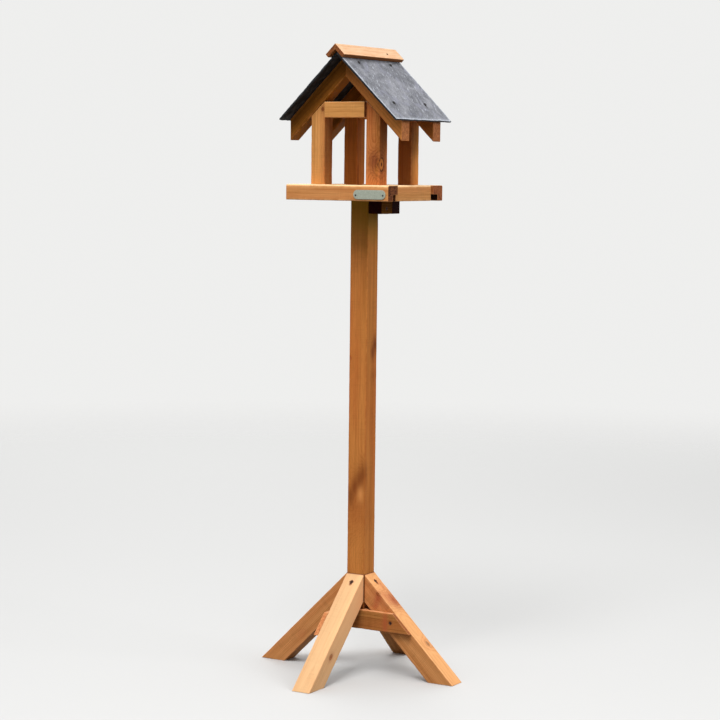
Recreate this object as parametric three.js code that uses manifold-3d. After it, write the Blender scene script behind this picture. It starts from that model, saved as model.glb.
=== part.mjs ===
// A garden bird table: a square post on four splayed legs carries a tray,
// and a small open house with a slate roof stands in the tray.
// Millimetres, +Z up, origin on the ground under the post's centre.
// Front is -Y, right is +X.

import * as THREE from 'three';
import { mergeVertices } from 'three/addons/utils/BufferGeometryUtils.js';
import Module from 'manifold-3d';

const wasm = await Module();
wasm.setup();

// Clearances, rounding and cutting
const gap = 0.3; // between two pieces that touch
const arris = 1.6; // rounding of the planed timber edges
const arrisSteps = 3; // facets in each rounded edge
const overrun = 60; // how far a cutting shape runs past the piece
const farAway = 2000; // half size of a shape that cuts away a whole side

// Post
const postWidth = 44;
const standHeight = 1051; // ground to the underside of the tray's floor

// Legs
const legWidth = 44;
const legDepth = 44;
const legAngle = THREE.MathUtils.degToRad(44.5); // below level
const legHeadHeight = 222; // where a leg's outer face meets the post
const legScrewReach = 17.1; // level distance from the post to the screw

// Braces, one beside each leg
const braceThick = 10;
const braceHeight = 43;
const braceDrop = 6.2; // top edge, below the underside of the next leg
const braceSetBack = 0.8; // end cut, inside the leg's outer face
const braceScrewShift = 3.5; // outwards from the leg's middle line
const braceScrewHeightShare = 0.49; // of the brace's height

// Block and batten under the tray
const bracketDepth = 34; // out from the post
const bracketHeight = 34;
const bracketScrewRise = 12; // above the bracket's bottom

// Tray
const railWidth = 42;
const railHeight = 34;
const rebateWidth = 20;
const rebateHeight = 14;
const railTopArris = 4; // the worn outer top edge
const trayLength = 256; // front and back rails, end to end
const trayDepth = 240; // over the front and back rails
const sideRailInset = 5.5; // side rails, in from the rail ends
const floorThick = 8.7;

// Posts of the house
const housePostWidth = 34;
const sideNotch = 5.5; // how far they reach over the side rails
const frontNotch = 8; // how far they reach over the front and back rails
const housePostHeight = 166; // tray floor to the low edge of the head

// Lintels
const lintelHeight = 34;
const lintelDepth = 34;
const lintelProud = 8; // in front of the posts' faces
const lintelSlack = 4; // open space at its far end
const lintelTop = 197.4; // above the tray floor

// Roof
const roofAngle = THREE.MathUtils.degToRad(44.5); // below level
const rafterWidth = 34;
const rafterDepth = 34;
const rafterOverhang = 53.3; // level, past the posts
const slateThick = 5;
const slateOverhang = 7.7; // level, past the rafters' ends
const slateRidgeGap = 1; // centre to the top edge's lower corner
const slateFrontOverhang = 41; // past the posts, at the ridge
const slateBackOverhang = 32.5;
const slateSkew = 5; // how far the front edge draws in at the eave
const slateBevel = 1.1; // dressed edge
const slateScrewInset = 34; // low screws, level, in from the eave
const slateScrewTop = 1.6; // high screws, level, past the ridge board
const frontScrewShift = 6; // forwards from the rafter's middle
const backScrewShift = 7.5; // forwards from the rafter's middle

// Ridge boards
const ridgeThick = 9.4;
const ridgeWidth = 33.6; // outer face, down the slope
const ridgeFrontOverhang = 4; // past the slate
const ridgeBackOverhang = 6.5;
const ridgeNailShift = 4; // forwards from the back rafter's middle
const ridgeNailShare = 0.6; // down the board's outer face

// Badge on the front rail
const badgeLength = 79;
const badgeHeight = 20;
const badgeThick = 1.2;
const badgeInset = 45.5; // its middle, in from the rail's right end
const badgeRise = 14; // its middle, above the rail's bottom
const badgePinSpacing = 67;
const badgePinDrop = 1.5; // below the plate's middle
const badgeSteps = 12; // facets in each rounded end

// Fixings: a countersunk screw's head lies in the wood, the others stand on it
const screwSides = 8;
const legScrew = { headRadius: 4, headDepth: 3, shankRadius: 2, length: 42, sunk: 1.2 };
const braceScrew = { headRadius: 3.5, headDepth: 2.6, shankRadius: 1.8, length: 30, sunk: 0.4 };
const bracketScrew = { headRadius: 4, headDepth: 3, shankRadius: 2, length: 45, sunk: 0.5 };
const trayScrew = { headRadius: 3, headDepth: 2.4, shankRadius: 1.5, length: 22, sunk: 0.4 };
const slateScrew = { headRadius: 3.4, headDepth: 2, shankRadius: 1.7, length: 27 };
const ridgeNail = { headRadius: 2.2, headDepth: 0.9, shankRadius: 1, length: 19 };
const badgePin = { headRadius: 1.9, headDepth: 1, shankRadius: 0.9, length: 9 };
const headCrownShare = 0.55; // flat top of a standing head, of its radius
const headSideShare = 0.4; // upright side of a standing head, of its depth

// Heights and places that follow from the sizes above
const postHalf = postWidth / 2;
const floorTop = standHeight + floorThick;
const railBottom = floorTop + gap - rebateHeight;
const railTop = railBottom + railHeight;
const railInnerY = trayDepth / 2 - railWidth;
const sideRailOuterX = trayLength / 2 - sideRailInset;
const sideRailInnerX = sideRailOuterX - railWidth;
const rebateOuterY = railInnerY + rebateWidth;
const rebateOuterX = sideRailInnerX + rebateWidth;
const houseOuterX = sideRailInnerX + sideNotch;
const houseOuterY = railInnerY + frontNotch;
const housePostX = houseOuterX - housePostWidth / 2;
const housePostY = houseOuterY - housePostWidth / 2;
const roofDrop = Math.tan(roofAngle);
const roofLean = 1 / Math.cos(roofAngle); // plumb thickness of a sloping layer
const rafterUnderApex = floorTop + gap + housePostHeight + gap * roofLean + houseOuterX * roofDrop;
const rafterTopApex = rafterUnderApex + rafterDepth * roofLean;
const slateTopApex = rafterTopApex + (gap + slateThick) * roofLean;
const ridgeTopApex = slateTopApex + (gap + ridgeThick) * roofLean;
const legUnderside = legHeadHeight - legDepth / Math.cos(legAngle);
const braceTop = legUnderside - (gap + braceThick) * Math.tan(legAngle) - braceDrop;
const braceBottom = braceTop - braceHeight;
const rafterReach = houseOuterX + rafterOverhang;
const slateReach = rafterReach + slateOverhang;
const slateFront = houseOuterY + slateFrontOverhang;
const slateBack = houseOuterY + slateBackOverhang;
const ridgeLength = slateFront + ridgeFrontOverhang + slateBack + ridgeBackOverhang;
const ridgeMiddleY = (slateBack + ridgeBackOverhang - slateFront - ridgeFrontOverhang) / 2;
const bracketTop = standHeight - gap;
const bracketBottom = bracketTop - bracketHeight;
const bracketOuter = postHalf + gap + bracketDepth;

const quarterTurn = Math.PI / 2;
const axisX = new THREE.Vector3(1, 0, 0);
const axisY = new THREE.Vector3(0, 1, 0);
const axisZ = new THREE.Vector3(0, 0, 1);
const downSlope = (angle) => new THREE.Vector3(Math.cos(angle), 0, -Math.sin(angle));
const offSlope = (angle) => new THREE.Vector3(Math.sin(angle), 0, Math.cos(angle));

const finish = (color, roughness, metalness) =>
  new THREE.MeshStandardMaterial({ color, roughness, metalness, flatShading: true });
const timber = (color) => finish(color, 0.72, 0);
const finishes = {
  post: timber(0xb06a30),
  leg: timber(0xd9a468),
  brace: timber(0xc88a50),
  bracket: timber(0x5a3218),
  rail: timber(0xc8905a),
  floor: timber(0x9a6a3c),
  house: timber(0xb8743a),
  rafter: timber(0x9c5c2a),
  ridge: timber(0xe6c096),
  slate: finish(0x9a9aa0, 0.85, 0),
  steel: finish(0x4a4642, 0.5, 0.8),
  badge: finish(0xa9ada2, 0.4, 0.85),
};

// A closed geometry as a solid that can be cut: shared corners merged, collapsed triangles dropped.
function toSolid(geometry, matrix = new THREE.Matrix4()) {
  const bare = geometry.clone();
  bare.deleteAttribute('normal');
  bare.deleteAttribute('uv');
  bare.applyMatrix4(matrix);
  const merged = mergeVertices(bare);
  const corners = merged.index.array;
  const kept = [];
  for (let i = 0; i < corners.length; i += 3) {
    const [a, b, c] = [corners[i], corners[i + 1], corners[i + 2]];
    if (a !== b && b !== c && c !== a) kept.push(a, b, c);
  }
  const vertProperties = new Float32Array(merged.attributes.position.array);
  return new wasm.Manifold(new wasm.Mesh({ numProp: 3, vertProperties, triVerts: new Uint32Array(kept) }));
}

function toGeometry(solid) {
  const mesh = solid.getMesh();
  const geometry = new THREE.BufferGeometry();
  geometry.setAttribute('position', new THREE.BufferAttribute(new Float32Array(mesh.vertProperties), 3));
  geometry.setIndex(new THREE.BufferAttribute(new Uint32Array(mesh.triVerts), 1));
  geometry.computeVertexNormals();
  return geometry;
}

// A box between two opposite corners.
function block(low, high) {
  const size = new THREE.Vector3().subVectors(high, low);
  const middle = new THREE.Vector3().addVectors(low, high).divideScalar(2);
  const geometry = new THREE.BoxGeometry(size.x, size.y, size.z);
  return toSolid(geometry, new THREE.Matrix4().setPosition(middle));
}

const corner = (x, y, z) => new THREE.Vector3(x, y, z);

// An outline with each corner [x, y, radius] rounded, or sharp where its radius is zero.
function roundedOutline(corners) {
  const shape = new THREE.Shape();
  corners.forEach(([x, y, radius], i) => {
    const here = new THREE.Vector2(x, y);
    const before = new THREE.Vector2(...corners.at(i - 1));
    const after = new THREE.Vector2(...corners[(i + 1) % corners.length]);
    const into = before.sub(here).setLength(radius).add(here);
    const out = after.sub(here).setLength(radius).add(here);
    if (i === 0) shape.moveTo(into.x, into.y);
    else shape.lineTo(into.x, into.y);
    if (radius > 0) shape.quadraticCurveTo(here.x, here.y, out.x, out.y);
  });
  shape.closePath();
  return shape;
}

function rectangle(width, depth, radius) {
  const [x, y] = [width / 2, depth / 2];
  return roundedOutline([[-x, -y, radius], [x, -y, radius], [x, y, radius], [-x, y, radius]]);
}

// An outline carried along a straight line: across and up are the outline's own axes.
function extruded(outline, length, start, across, up) {
  const along = new THREE.Vector3().crossVectors(across, up);
  const options = { depth: length, bevelEnabled: false, curveSegments: arrisSteps };
  const geometry = new THREE.ExtrudeGeometry(outline, options);
  const matrix = new THREE.Matrix4().makeBasis(across, up, along).setPosition(start);
  return toSolid(geometry, matrix);
}

// A bar that slopes down to the right: its top face runs through (x, z),
// and it spans two distances measured down that face.
function slopingBar(outline, depth, angle, x, z, from, to) {
  const start = corner(x, 0, z);
  start.addScaledVector(offSlope(angle), -depth / 2);
  start.addScaledVector(downSlope(angle), from);
  return extruded(outline, to - from, start, axisY, offSlope(angle));
}

// All the space above a plane that slopes down to the right through (x, z).
function spaceAbove(angle, x, z) {
  const geometry = new THREE.BoxGeometry(farAway, farAway, farAway);
  geometry.translate(0, 0, farAway / 2);
  const matrix = new THREE.Matrix4().makeBasis(downSlope(angle), axisY, offSlope(angle));
  return toSolid(geometry, matrix.setPosition(corner(x, 0, z)));
}

// A profile of [radius, height] turned about its axis, with the axis laid along a direction.
function turnedAbout(profile, at, along) {
  const points = profile.map(([radius, height]) => new THREE.Vector2(radius, height));
  const turn = new THREE.Quaternion().setFromUnitVectors(axisY, along.clone().negate());
  const matrix = new THREE.Matrix4().compose(at, turn, corner(1, 1, 1));
  return toSolid(new THREE.LatheGeometry(points, screwSides), matrix);
}

// A fixing is a size, the point of the surface it enters and the way it is driven.
const fixing = (size, at, along) => ({ size, at, along });

function turnedFixing({ size, at, along }, turns) {
  const spin = (vector) => vector.clone().applyAxisAngle(axisZ, turns * quarterTurn);
  return fixing(size, spin(at), spin(along));
}

const allRound = (item) => [0, 1, 2, 3].map((turns) => turnedFixing(item, turns));

function fixingSolid({ size, at, along }) {
  const { headRadius, headDepth, shankRadius, length, sunk } = size;
  if (sunk !== undefined) {
    const profile = [[0, -length - sunk], [shankRadius, -length - sunk + shankRadius]];
    profile.push([shankRadius, -headDepth - sunk], [headRadius, -sunk], [0, -sunk]);
    return turnedAbout(profile, at, along);
  }
  const profile = [[0, -length], [shankRadius, -length + shankRadius], [shankRadius, gap], [headRadius, gap]];
  profile.push([headRadius, gap + headDepth * headSideShare]);
  profile.push([headRadius * headCrownShare, gap + headDepth], [0, gap + headDepth]);
  return turnedAbout(profile, at, along);
}

// The hole for a fixing: its own outline, a gap wider all round and open at the surface.
function fixingHole({ size, at, along }) {
  const { headRadius, headDepth, shankRadius, length, sunk } = size;
  const shank = shankRadius + gap;
  if (sunk !== undefined) {
    const head = headRadius + gap;
    const profile = [[0, -length - sunk - gap], [shank, -length - sunk - gap], [shank, -headDepth - sunk]];
    profile.push([head, -sunk], [head, overrun], [0, overrun]);
    return turnedAbout(profile, at, along);
  }
  return turnedAbout([[0, -length - gap], [shank, -length - gap], [shank, overrun], [0, overrun]], at, along);
}

const drilled = (solid, fixings) => fixings.reduce((rest, item) => rest.subtract(fixingHole(item)), solid);

const table = new THREE.Group();

function addPiece(name, geometry, finish, parent = table) {
  const mesh = new THREE.Mesh(geometry, finish);
  mesh.name = name;
  parent.add(mesh);
  return mesh;
}

function addFixing(name, item, parent) {
  return addPiece(name, toGeometry(fixingSolid(item)), finishes.steel, parent);
}

const quarterNames = ['right', 'back', 'left', 'front'];

// Fixings of the foot and the bracket, each for the right-hand side
const legScrewAt = corner(postHalf + legScrewReach, 0, legHeadHeight - legScrewReach * Math.tan(legAngle));
const legScrewItem = fixing(legScrew, legScrewAt, offSlope(legAngle).negate());
const braceFace = -legWidth / 2 - gap - braceThick;
const braceScrewHeight = braceBottom + braceHeight * braceScrewHeightShare;
const legOuterThere = postHalf + (legHeadHeight - braceScrewHeight) / Math.tan(legAngle);
const legMiddleThere = legOuterThere - legDepth / 2 / Math.sin(legAngle);
const braceScrewAt = corner(legMiddleThere + braceScrewShift, braceFace, braceScrewHeight);
const braceScrewItem = fixing(braceScrew, braceScrewAt, axisY);
const bracketScrewAt = corner(bracketOuter, 0, bracketBottom + bracketScrewRise);
const bracketScrewItem = fixing(bracketScrew, bracketScrewAt, axisX.clone().negate());
const bracketScrewItems = [bracketScrewItem, turnedFixing(bracketScrewItem, 1)];
const bracketMiddle = postHalf + gap + bracketDepth / 2;

// Screws down through the floor into the post, the block and the batten
const downInto = (x, y) => fixing(trayScrew, corner(x, y, floorTop), axisZ.clone().negate());
const trayScrews = {
  post: downInto(0, 0),
  block: downInto(bracketMiddle, 0),
  batten: downInto(0, bracketMiddle),
};

// The leg: one square bar, cut plumb against the post and level on the ground.
function legGeometry() {
  const outline = rectangle(legWidth, legDepth, arris);
  const reach = legHeadHeight / Math.sin(legAngle) + legDepth;
  const bar = slopingBar(outline, legDepth, legAngle, postHalf, legHeadHeight, -overrun, reach + overrun);
  const room = block(corner(postHalf + gap, -farAway, 0), corner(farAway, farAway, farAway));
  return toGeometry(drilled(bar.intersect(room), [legScrewItem, braceScrewItem]));
}

// The brace: a board on edge beside its leg, butted against the next brace,
// its outer end cut to the slope of the leg.
function braceGeometry() {
  const outline = rectangle(braceThick, braceHeight, arris);
  const reach = postHalf + legHeadHeight / Math.tan(legAngle);
  const middleY = -legWidth / 2 - gap - braceThick / 2;
  const start = corner(-postHalf, middleY, braceBottom + braceHeight / 2);
  const board = extruded(outline, reach + postHalf, start, axisY, axisZ);
  const beyond = spaceAbove(legAngle, postHalf - braceSetBack / Math.sin(legAngle), legHeadHeight);
  return toGeometry(drilled(board.subtract(beyond), [braceScrewItem]));
}

function addFoot() {
  const leg = legGeometry();
  const brace = braceGeometry();
  quarterNames.forEach((name, turns) => {
    addPiece(`leg_${name}`, leg, finishes.leg).rotation.z = turns * quarterTurn;
    addPiece(`brace_${name}`, brace, finishes.brace).rotation.z = turns * quarterTurn;
    addFixing(`leg_screw_${name}`, legScrewItem, table).rotation.z = turns * quarterTurn;
    addFixing(`brace_screw_${name}`, braceScrewItem, table).rotation.z = turns * quarterTurn;
  });
}

// The post stands on its braces' level and ends under the tray's floor.
function addPost() {
  const outline = rectangle(postWidth, postWidth, arris);
  const height = standHeight - gap - braceBottom;
  const bar = extruded(outline, height, corner(0, 0, braceBottom), axisX, axisY);
  const fixings = [...allRound(legScrewItem), ...bracketScrewItems, trayScrews.post];
  addPiece('post', toGeometry(drilled(bar, fixings)), finishes.post);
}

// Under the tray a block on the right of the post and a longer batten behind it make an L.
function addBracket() {
  const outline = rectangle(bracketDepth, bracketHeight, arris);
  const middleZ = bracketBottom + bracketHeight / 2;
  const blockBar = extruded(outline, postWidth, corner(bracketMiddle, postHalf, middleZ), axisX, axisZ);
  const battenLength = postHalf + bracketOuter;
  const battenBar = extruded(outline, battenLength, corner(-postHalf, bracketMiddle, middleZ), axisY, axisZ);
  const blockPiece = drilled(blockBar, [bracketScrewItems[0], trayScrews.block]);
  const battenPiece = drilled(battenBar, [bracketScrewItems[1], trayScrews.batten]);
  addPiece('bracket_block', toGeometry(blockPiece), finishes.bracket);
  addPiece('bracket_batten', toGeometry(battenPiece), finishes.bracket);
  addFixing('bracket_screw_block', bracketScrewItems[0], table);
  addFixing('bracket_screw_batten', bracketScrewItems[1], table);
}

// The rail's section, from its outer face inwards: rebated underneath for the floor.
function railOutline() {
  const lip = railWidth - rebateWidth;
  const outerEdge = [[0, railHeight, railTopArris], [0, 0, arris], [lip, 0, arris]];
  const rebate = [[lip, rebateHeight, 0], [railWidth, rebateHeight, arris]];
  return roundedOutline([...outerEdge, ...rebate, [railWidth, railHeight, arris]]);
}

const badgeFace = -trayDepth / 2;
const badgePlace = trayLength / 2 - badgeInset;
const badgePins = [-1, 1].map((side) => {
  const x = badgePlace + (side * badgePinSpacing) / 2;
  const z = railBottom + badgeRise - badgePinDrop;
  return fixing(badgePin, corner(x, badgeFace - gap - badgeThick, z), axisY);
});

function addTray() {
  const outline = railOutline();
  const longStart = corner(-trayLength / 2, -trayDepth / 2, railBottom);
  const long = extruded(outline, trayLength, longStart, axisY, axisZ);
  const sideLength = 2 * (railInnerY - gap);
  const sideStart = corner(sideRailOuterX, -sideLength / 2, railBottom);
  const side = extruded(outline, sideLength, sideStart, axisX.clone().negate(), axisZ);
  addPiece('tray_rail_front', toGeometry(drilled(long, badgePins)), finishes.rail);
  addPiece('tray_rail_back', toGeometry(long), finishes.rail).rotation.z = 2 * quarterTurn;
  addPiece('tray_rail_right', toGeometry(side), finishes.rail);
  addPiece('tray_rail_left', toGeometry(side), finishes.rail).rotation.z = 2 * quarterTurn;

  const low = corner(gap - rebateOuterX, gap - rebateOuterY, standHeight);
  const high = corner(rebateOuterX - gap, rebateOuterY - gap, floorTop);
  addPiece('tray_floor', toGeometry(drilled(block(low, high), Object.values(trayScrews))), finishes.floor);
  Object.entries(trayScrews).forEach(([name, item]) => addFixing(`tray_screw_${name}`, item, table));
}

function addBadge() {
  const radius = badgeHeight / 2;
  const straight = badgeLength / 2 - radius;
  const outline = new THREE.Shape();
  outline.absarc(straight, 0, radius, -quarterTurn, quarterTurn, false);
  outline.absarc(-straight, 0, radius, quarterTurn, 3 * quarterTurn, false);
  outline.closePath();
  const options = { depth: badgeThick, bevelEnabled: false, curveSegments: badgeSteps };
  const matrix = new THREE.Matrix4().makeBasis(axisX, axisZ, axisY.clone().negate());
  matrix.setPosition(corner(badgePlace, badgeFace - gap, railBottom + badgeRise));
  const plate = toSolid(new THREE.ExtrudeGeometry(outline, options), matrix);
  addPiece('badge_plate', toGeometry(drilled(plate, badgePins)), finishes.badge);
  addFixing('badge_pin_left', badgePins[0], table);
  addFixing('badge_pin_right', badgePins[1], table);
}

// A lintel fills the space between two posts, hard against the right one.
function addLintels() {
  const outline = rectangle(lintelDepth, lintelHeight, arris);
  const inside = houseOuterX - housePostWidth;
  const length = 2 * inside - lintelSlack - gap;
  const middleY = -houseOuterY - lintelProud + lintelDepth / 2;
  const middleZ = floorTop + gap + lintelTop - lintelHeight / 2;
  const bar = extruded(outline, length, corner(lintelSlack - inside, middleY, middleZ), axisY, axisZ);
  addPiece('lintel_front', toGeometry(bar), finishes.house);
  addPiece('lintel_back', toGeometry(bar), finishes.house).rotation.z = 2 * quarterTurn;
}

// A post of the house stands on the floor in a corner of the tray. Its foot is notched
// over both rails and its head is cut to the slope of the roof.
function housePost(toBack) {
  const height = rafterUnderApex - floorTop;
  const middleY = toBack * housePostY;
  const start = corner(housePostX, middleY, floorTop + gap);
  const bar = extruded(rectangle(housePostWidth, housePostWidth, arris), height, start, axisX, axisY);
  const roof = spaceAbove(roofAngle, 0, rafterUnderApex - gap * roofLean);
  const overRail = railTop + gap;
  const nearY = toBack * (railInnerY - gap);
  const farY = toBack * farAway;
  const [lowY, highY] = [Math.min(nearY, farY), Math.max(nearY, farY)];
  const railSpace = block(corner(-farAway, lowY, 0), corner(farAway, highY, overRail));
  const sideRailSpace = block(corner(sideRailInnerX - gap, -farAway, 0), corner(farAway, farAway, overRail));
  return toGeometry(bar.subtract(roof).subtract(railSpace).subtract(sideRailSpace));
}

// A rafter is cut plumb at the ridge and at the eave.
function rafter(middleY, fixings) {
  const outline = rectangle(rafterWidth, rafterDepth, arris);
  const reach = rafterReach * roofLean + rafterDepth;
  const bar = slopingBar(outline, rafterDepth, roofAngle, 0, rafterTopApex, -overrun, reach + overrun);
  const room = block(corner(gap / 2, -farAway, 0), corner(rafterReach, farAway, farAway));
  return toGeometry(drilled(bar.intersect(room).translate([0, middleY, 0]), fixings));
}

// A slate is one riven plate with dressed edges, laid on both rafters.
function slate(fixings) {
  const top = slateRidgeGap * roofLean + slateThick * roofDrop;
  const eave = slateReach * roofLean;
  const outline = new THREE.Shape();
  outline.moveTo(top, -slateFront);
  outline.lineTo(eave, slateSkew - slateFront);
  outline.lineTo(eave, slateBack);
  outline.lineTo(top, slateBack);
  outline.closePath();
  const bevel = { bevelEnabled: true, bevelSize: slateBevel, bevelOffset: -slateBevel };
  const depths = { depth: slateThick - 2 * slateBevel, bevelThickness: slateBevel, bevelSegments: 1 };
  const geometry = new THREE.ExtrudeGeometry(outline, { ...bevel, ...depths });
  geometry.translate(0, 0, slateBevel - slateThick);
  const matrix = new THREE.Matrix4().makeBasis(downSlope(roofAngle), axisY, offSlope(roofAngle));
  return toGeometry(drilled(toSolid(geometry, matrix.setPosition(corner(0, 0, slateTopApex))), fixings));
}

// A ridge board lies on its slate and meets the other one plumb over the ridge.
function ridgeBoard(middleY, fixings) {
  const outline = rectangle(ridgeLength, ridgeThick, arris);
  const bar = slopingBar(outline, ridgeThick, roofAngle, 0, ridgeTopApex, -overrun, ridgeWidth);
  const room = block(corner(gap / 2, -farAway, 0), corner(farAway, farAway, farAway));
  return toGeometry(drilled(bar.intersect(room).translate([0, middleY, 0]), fixings));
}

// Screws in two rows, each into one rafter, and the nail of the ridge board.
function roofFixings() {
  const intoSlope = offSlope(roofAngle).negate();
  const onPlane = (x, y, apex) => corner(x, y, apex - x * roofDrop);
  const lowX = slateReach - slateScrewInset;
  const highX = ridgeWidth * Math.cos(roofAngle) + slateScrewTop;
  const row = (y) => ({
    low: fixing(slateScrew, onPlane(lowX, y, slateTopApex), intoSlope),
    high: fixing(slateScrew, onPlane(highX, y, slateTopApex), intoSlope),
  });
  const nailX = ridgeWidth * ridgeNailShare * Math.cos(roofAngle);
  const nail = fixing(ridgeNail, onPlane(nailX, housePostY - ridgeNailShift, ridgeTopApex), intoSlope);
  return { near: row(-housePostY - frontScrewShift), far: row(housePostY - backScrewShift), nail };
}

// One side of the house, made as the right side and turned half round for the left:
// two posts, two rafters, the slate and its ridge board.
function addHouseSide(side, turns, ridgeMiddle) {
  const group = new THREE.Group();
  group.rotation.z = turns * quarterTurn;
  table.add(group);
  const { near, far, nail } = roofFixings();
  const ends = turns === 0 ? { near: 'front', far: 'back' } : { near: 'back', far: 'front' };
  const rows = { near: Object.values(near), far: Object.values(far) };
  addPiece(`house_post_${ends.near}_${side}`, housePost(-1), finishes.house, group);
  addPiece(`house_post_${ends.far}_${side}`, housePost(1), finishes.house, group);
  addPiece(`rafter_${ends.near}_${side}`, rafter(-housePostY, rows.near), finishes.rafter, group);
  addPiece(`rafter_${ends.far}_${side}`, rafter(housePostY, [...rows.far, nail]), finishes.rafter, group);
  addPiece(`slate_${side}`, slate([...rows.near, ...rows.far, nail]), finishes.slate, group);
  addPiece(`ridge_board_${side}`, ridgeBoard(ridgeMiddle, [nail]), finishes.ridge, group);
  addFixing(`ridge_nail_${side}`, nail, group);
  for (const [end, row] of Object.entries({ near, far })) {
    for (const [level, item] of Object.entries(row)) {
      addFixing(`slate_screw_${ends[end]}_${side}_${level}`, item, group);
    }
  }
}

addPost();
addFoot();
addBracket();
addTray();
addBadge();
addLintels();
addHouseSide('right', 0, ridgeMiddleY);
addHouseSide('left', 2, -ridgeMiddleY);

export default table;
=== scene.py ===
# A garden bird table: oiled softwood stand, tray and open house under two riven slates.
# Most lengths are written in millimetres and turned into metres by mm. Front is -Y, right is +X.
import math

import bpy
import numpy as np
from mathutils import Matrix, Vector


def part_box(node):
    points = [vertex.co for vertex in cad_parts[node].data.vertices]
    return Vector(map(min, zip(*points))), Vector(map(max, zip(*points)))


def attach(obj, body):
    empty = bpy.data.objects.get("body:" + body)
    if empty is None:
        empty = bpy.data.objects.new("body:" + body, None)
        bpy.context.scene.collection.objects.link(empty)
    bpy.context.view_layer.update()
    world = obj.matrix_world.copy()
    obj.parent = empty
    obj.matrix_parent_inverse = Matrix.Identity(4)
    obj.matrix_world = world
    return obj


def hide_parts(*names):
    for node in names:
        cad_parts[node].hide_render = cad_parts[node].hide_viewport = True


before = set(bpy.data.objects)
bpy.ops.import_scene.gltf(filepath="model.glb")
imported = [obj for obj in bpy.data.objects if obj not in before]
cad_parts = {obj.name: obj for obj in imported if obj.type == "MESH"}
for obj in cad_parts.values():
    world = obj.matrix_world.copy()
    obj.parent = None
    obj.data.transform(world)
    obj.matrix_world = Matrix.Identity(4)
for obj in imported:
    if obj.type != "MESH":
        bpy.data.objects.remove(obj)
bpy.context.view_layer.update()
print("frame loaded with", len(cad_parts), "nodes")

mm = 0.001
gap = 0.3 * mm
quarterNames = ["right", "back", "left", "front"]
quarterTurn = math.pi / 2
axisX, axisY, axisZ = np.eye(3, dtype=int)


# A screen colour, 0 to 255, as the linear colour that sockets want.
def tone(red, green, blue):
    share = np.array([red, green, blue]) / 255
    linear = np.where(share <= 0.04045, share / 12.92, ((share + 0.055) / 1.055) ** 2.4)
    return (*linear.tolist(), 1.0)


def unit(vector):
    vector = np.array(vector, float)
    return vector / np.linalg.norm(vector)


# Eased step from 0 at low to 1 at high.
def easeStep(value, low, high):
    share = np.clip((value - low) / (high - low), 0, 1)
    return share * share * (3 - 2 * share)


# Smooth noise from -1 to 1: hashed values on a cubic lattice, eased between its eight corners.
def softNoise(points, cell, seed):
    grid = points / cell
    base = np.floor(grid).astype(np.int64)
    share = grid - base
    share = share * share * (3 - 2 * share)
    total = np.zeros(points.shape[:-1])
    for step in np.ndindex(2, 2, 2):
        keys = ((base + step) * (73856093, 19349663, 83492791)).sum(-1) + seed * 40503
        keys = (keys ^ (keys >> 13)) * 1274126177 & 0xFFFFFFFF
        keys = (keys ^ (keys >> 15)) * 2246822519 & 0xFFFFFFFF
        weight = np.where(step, share, 1 - share).prod(-1)
        total += weight * (keys / 0x7FFFFFFF - 1)
    return total


# Quarter turns about the post.
def turned(points, turns):
    spin = np.array(Matrix.Rotation(turns * quarterTurn, 3, "Z"))
    return points @ spin.T


# Materials: node groups used by several finishes.

# Adds nodes to a tree. An input is a value or another node's output.
class NodeBench:
    def __init__(self, tree):
        self.tree = tree

    def add(self, kind, inputs=None, **settings):
        node = self.tree.nodes.new(kind)
        for key, value in settings.items():
            setattr(node, key, value)
        self.fill(node.inputs, inputs or {})
        return node

    def fill(self, sockets, values):
        for key, value in values.items():
            self.feed(sockets[key], value)

    def feed(self, socket, value):
        if isinstance(value, bpy.types.NodeSocket):
            self.tree.links.new(value, socket)
        else:
            socket.default_value = value

    def math(self, operation, *values, clamp=False):
        node = self.add("ShaderNodeMath", operation=operation, use_clamp=clamp)
        for socket, value in zip(node.inputs, values):
            self.feed(socket, value)
        return node.outputs[0]

    def times(self, value, *factors, clamp=False):
        for count, factor in enumerate(factors, 1):
            value = self.math("MULTIPLY", value, factor, clamp=clamp and count == len(factors))
        return value

    def scaled(self, value, factor, offset):
        return self.math("MULTIPLY_ADD", value, factor, offset)

    def vector(self, operation, *values):
        node = self.add("ShaderNodeVectorMath", operation=operation)
        for socket, value in zip(node.inputs, values):
            self.feed(socket, value)
        return node.outputs["Value" if operation in ("LENGTH", "DISTANCE", "DOT_PRODUCT") else "Vector"]

    def noise(self, vector, scale, detail=2.0, roughness=0.5, stretch=None, distortion=0.0, output="Fac"):
        if stretch:
            vector = self.vector("MULTIPLY", vector, stretch)
        values = {"Vector": vector, "Scale": scale, "Detail": detail}
        values |= {"Roughness": roughness, "Distortion": distortion}
        return self.add("ShaderNodeTexNoise", values).outputs[output]

    def step(self, value, low, high, to=(0.0, 1.0)):
        values = {"Value": value, "From Min": low, "From Max": high, "To Min": to[0], "To Max": to[1]}
        return self.add("ShaderNodeMapRange", values, interpolation_type="SMOOTHSTEP").outputs[0]

    def blend(self, share, first, second, kind="MIX"):
        node = self.add("ShaderNodeMix", data_type="RGBA", blend_type=kind, clamp_factor=True)
        self.feed(node.inputs[0], share)
        self.feed(node.inputs[6], first)
        self.feed(node.inputs[7], second)
        return node.outputs[2]


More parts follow.
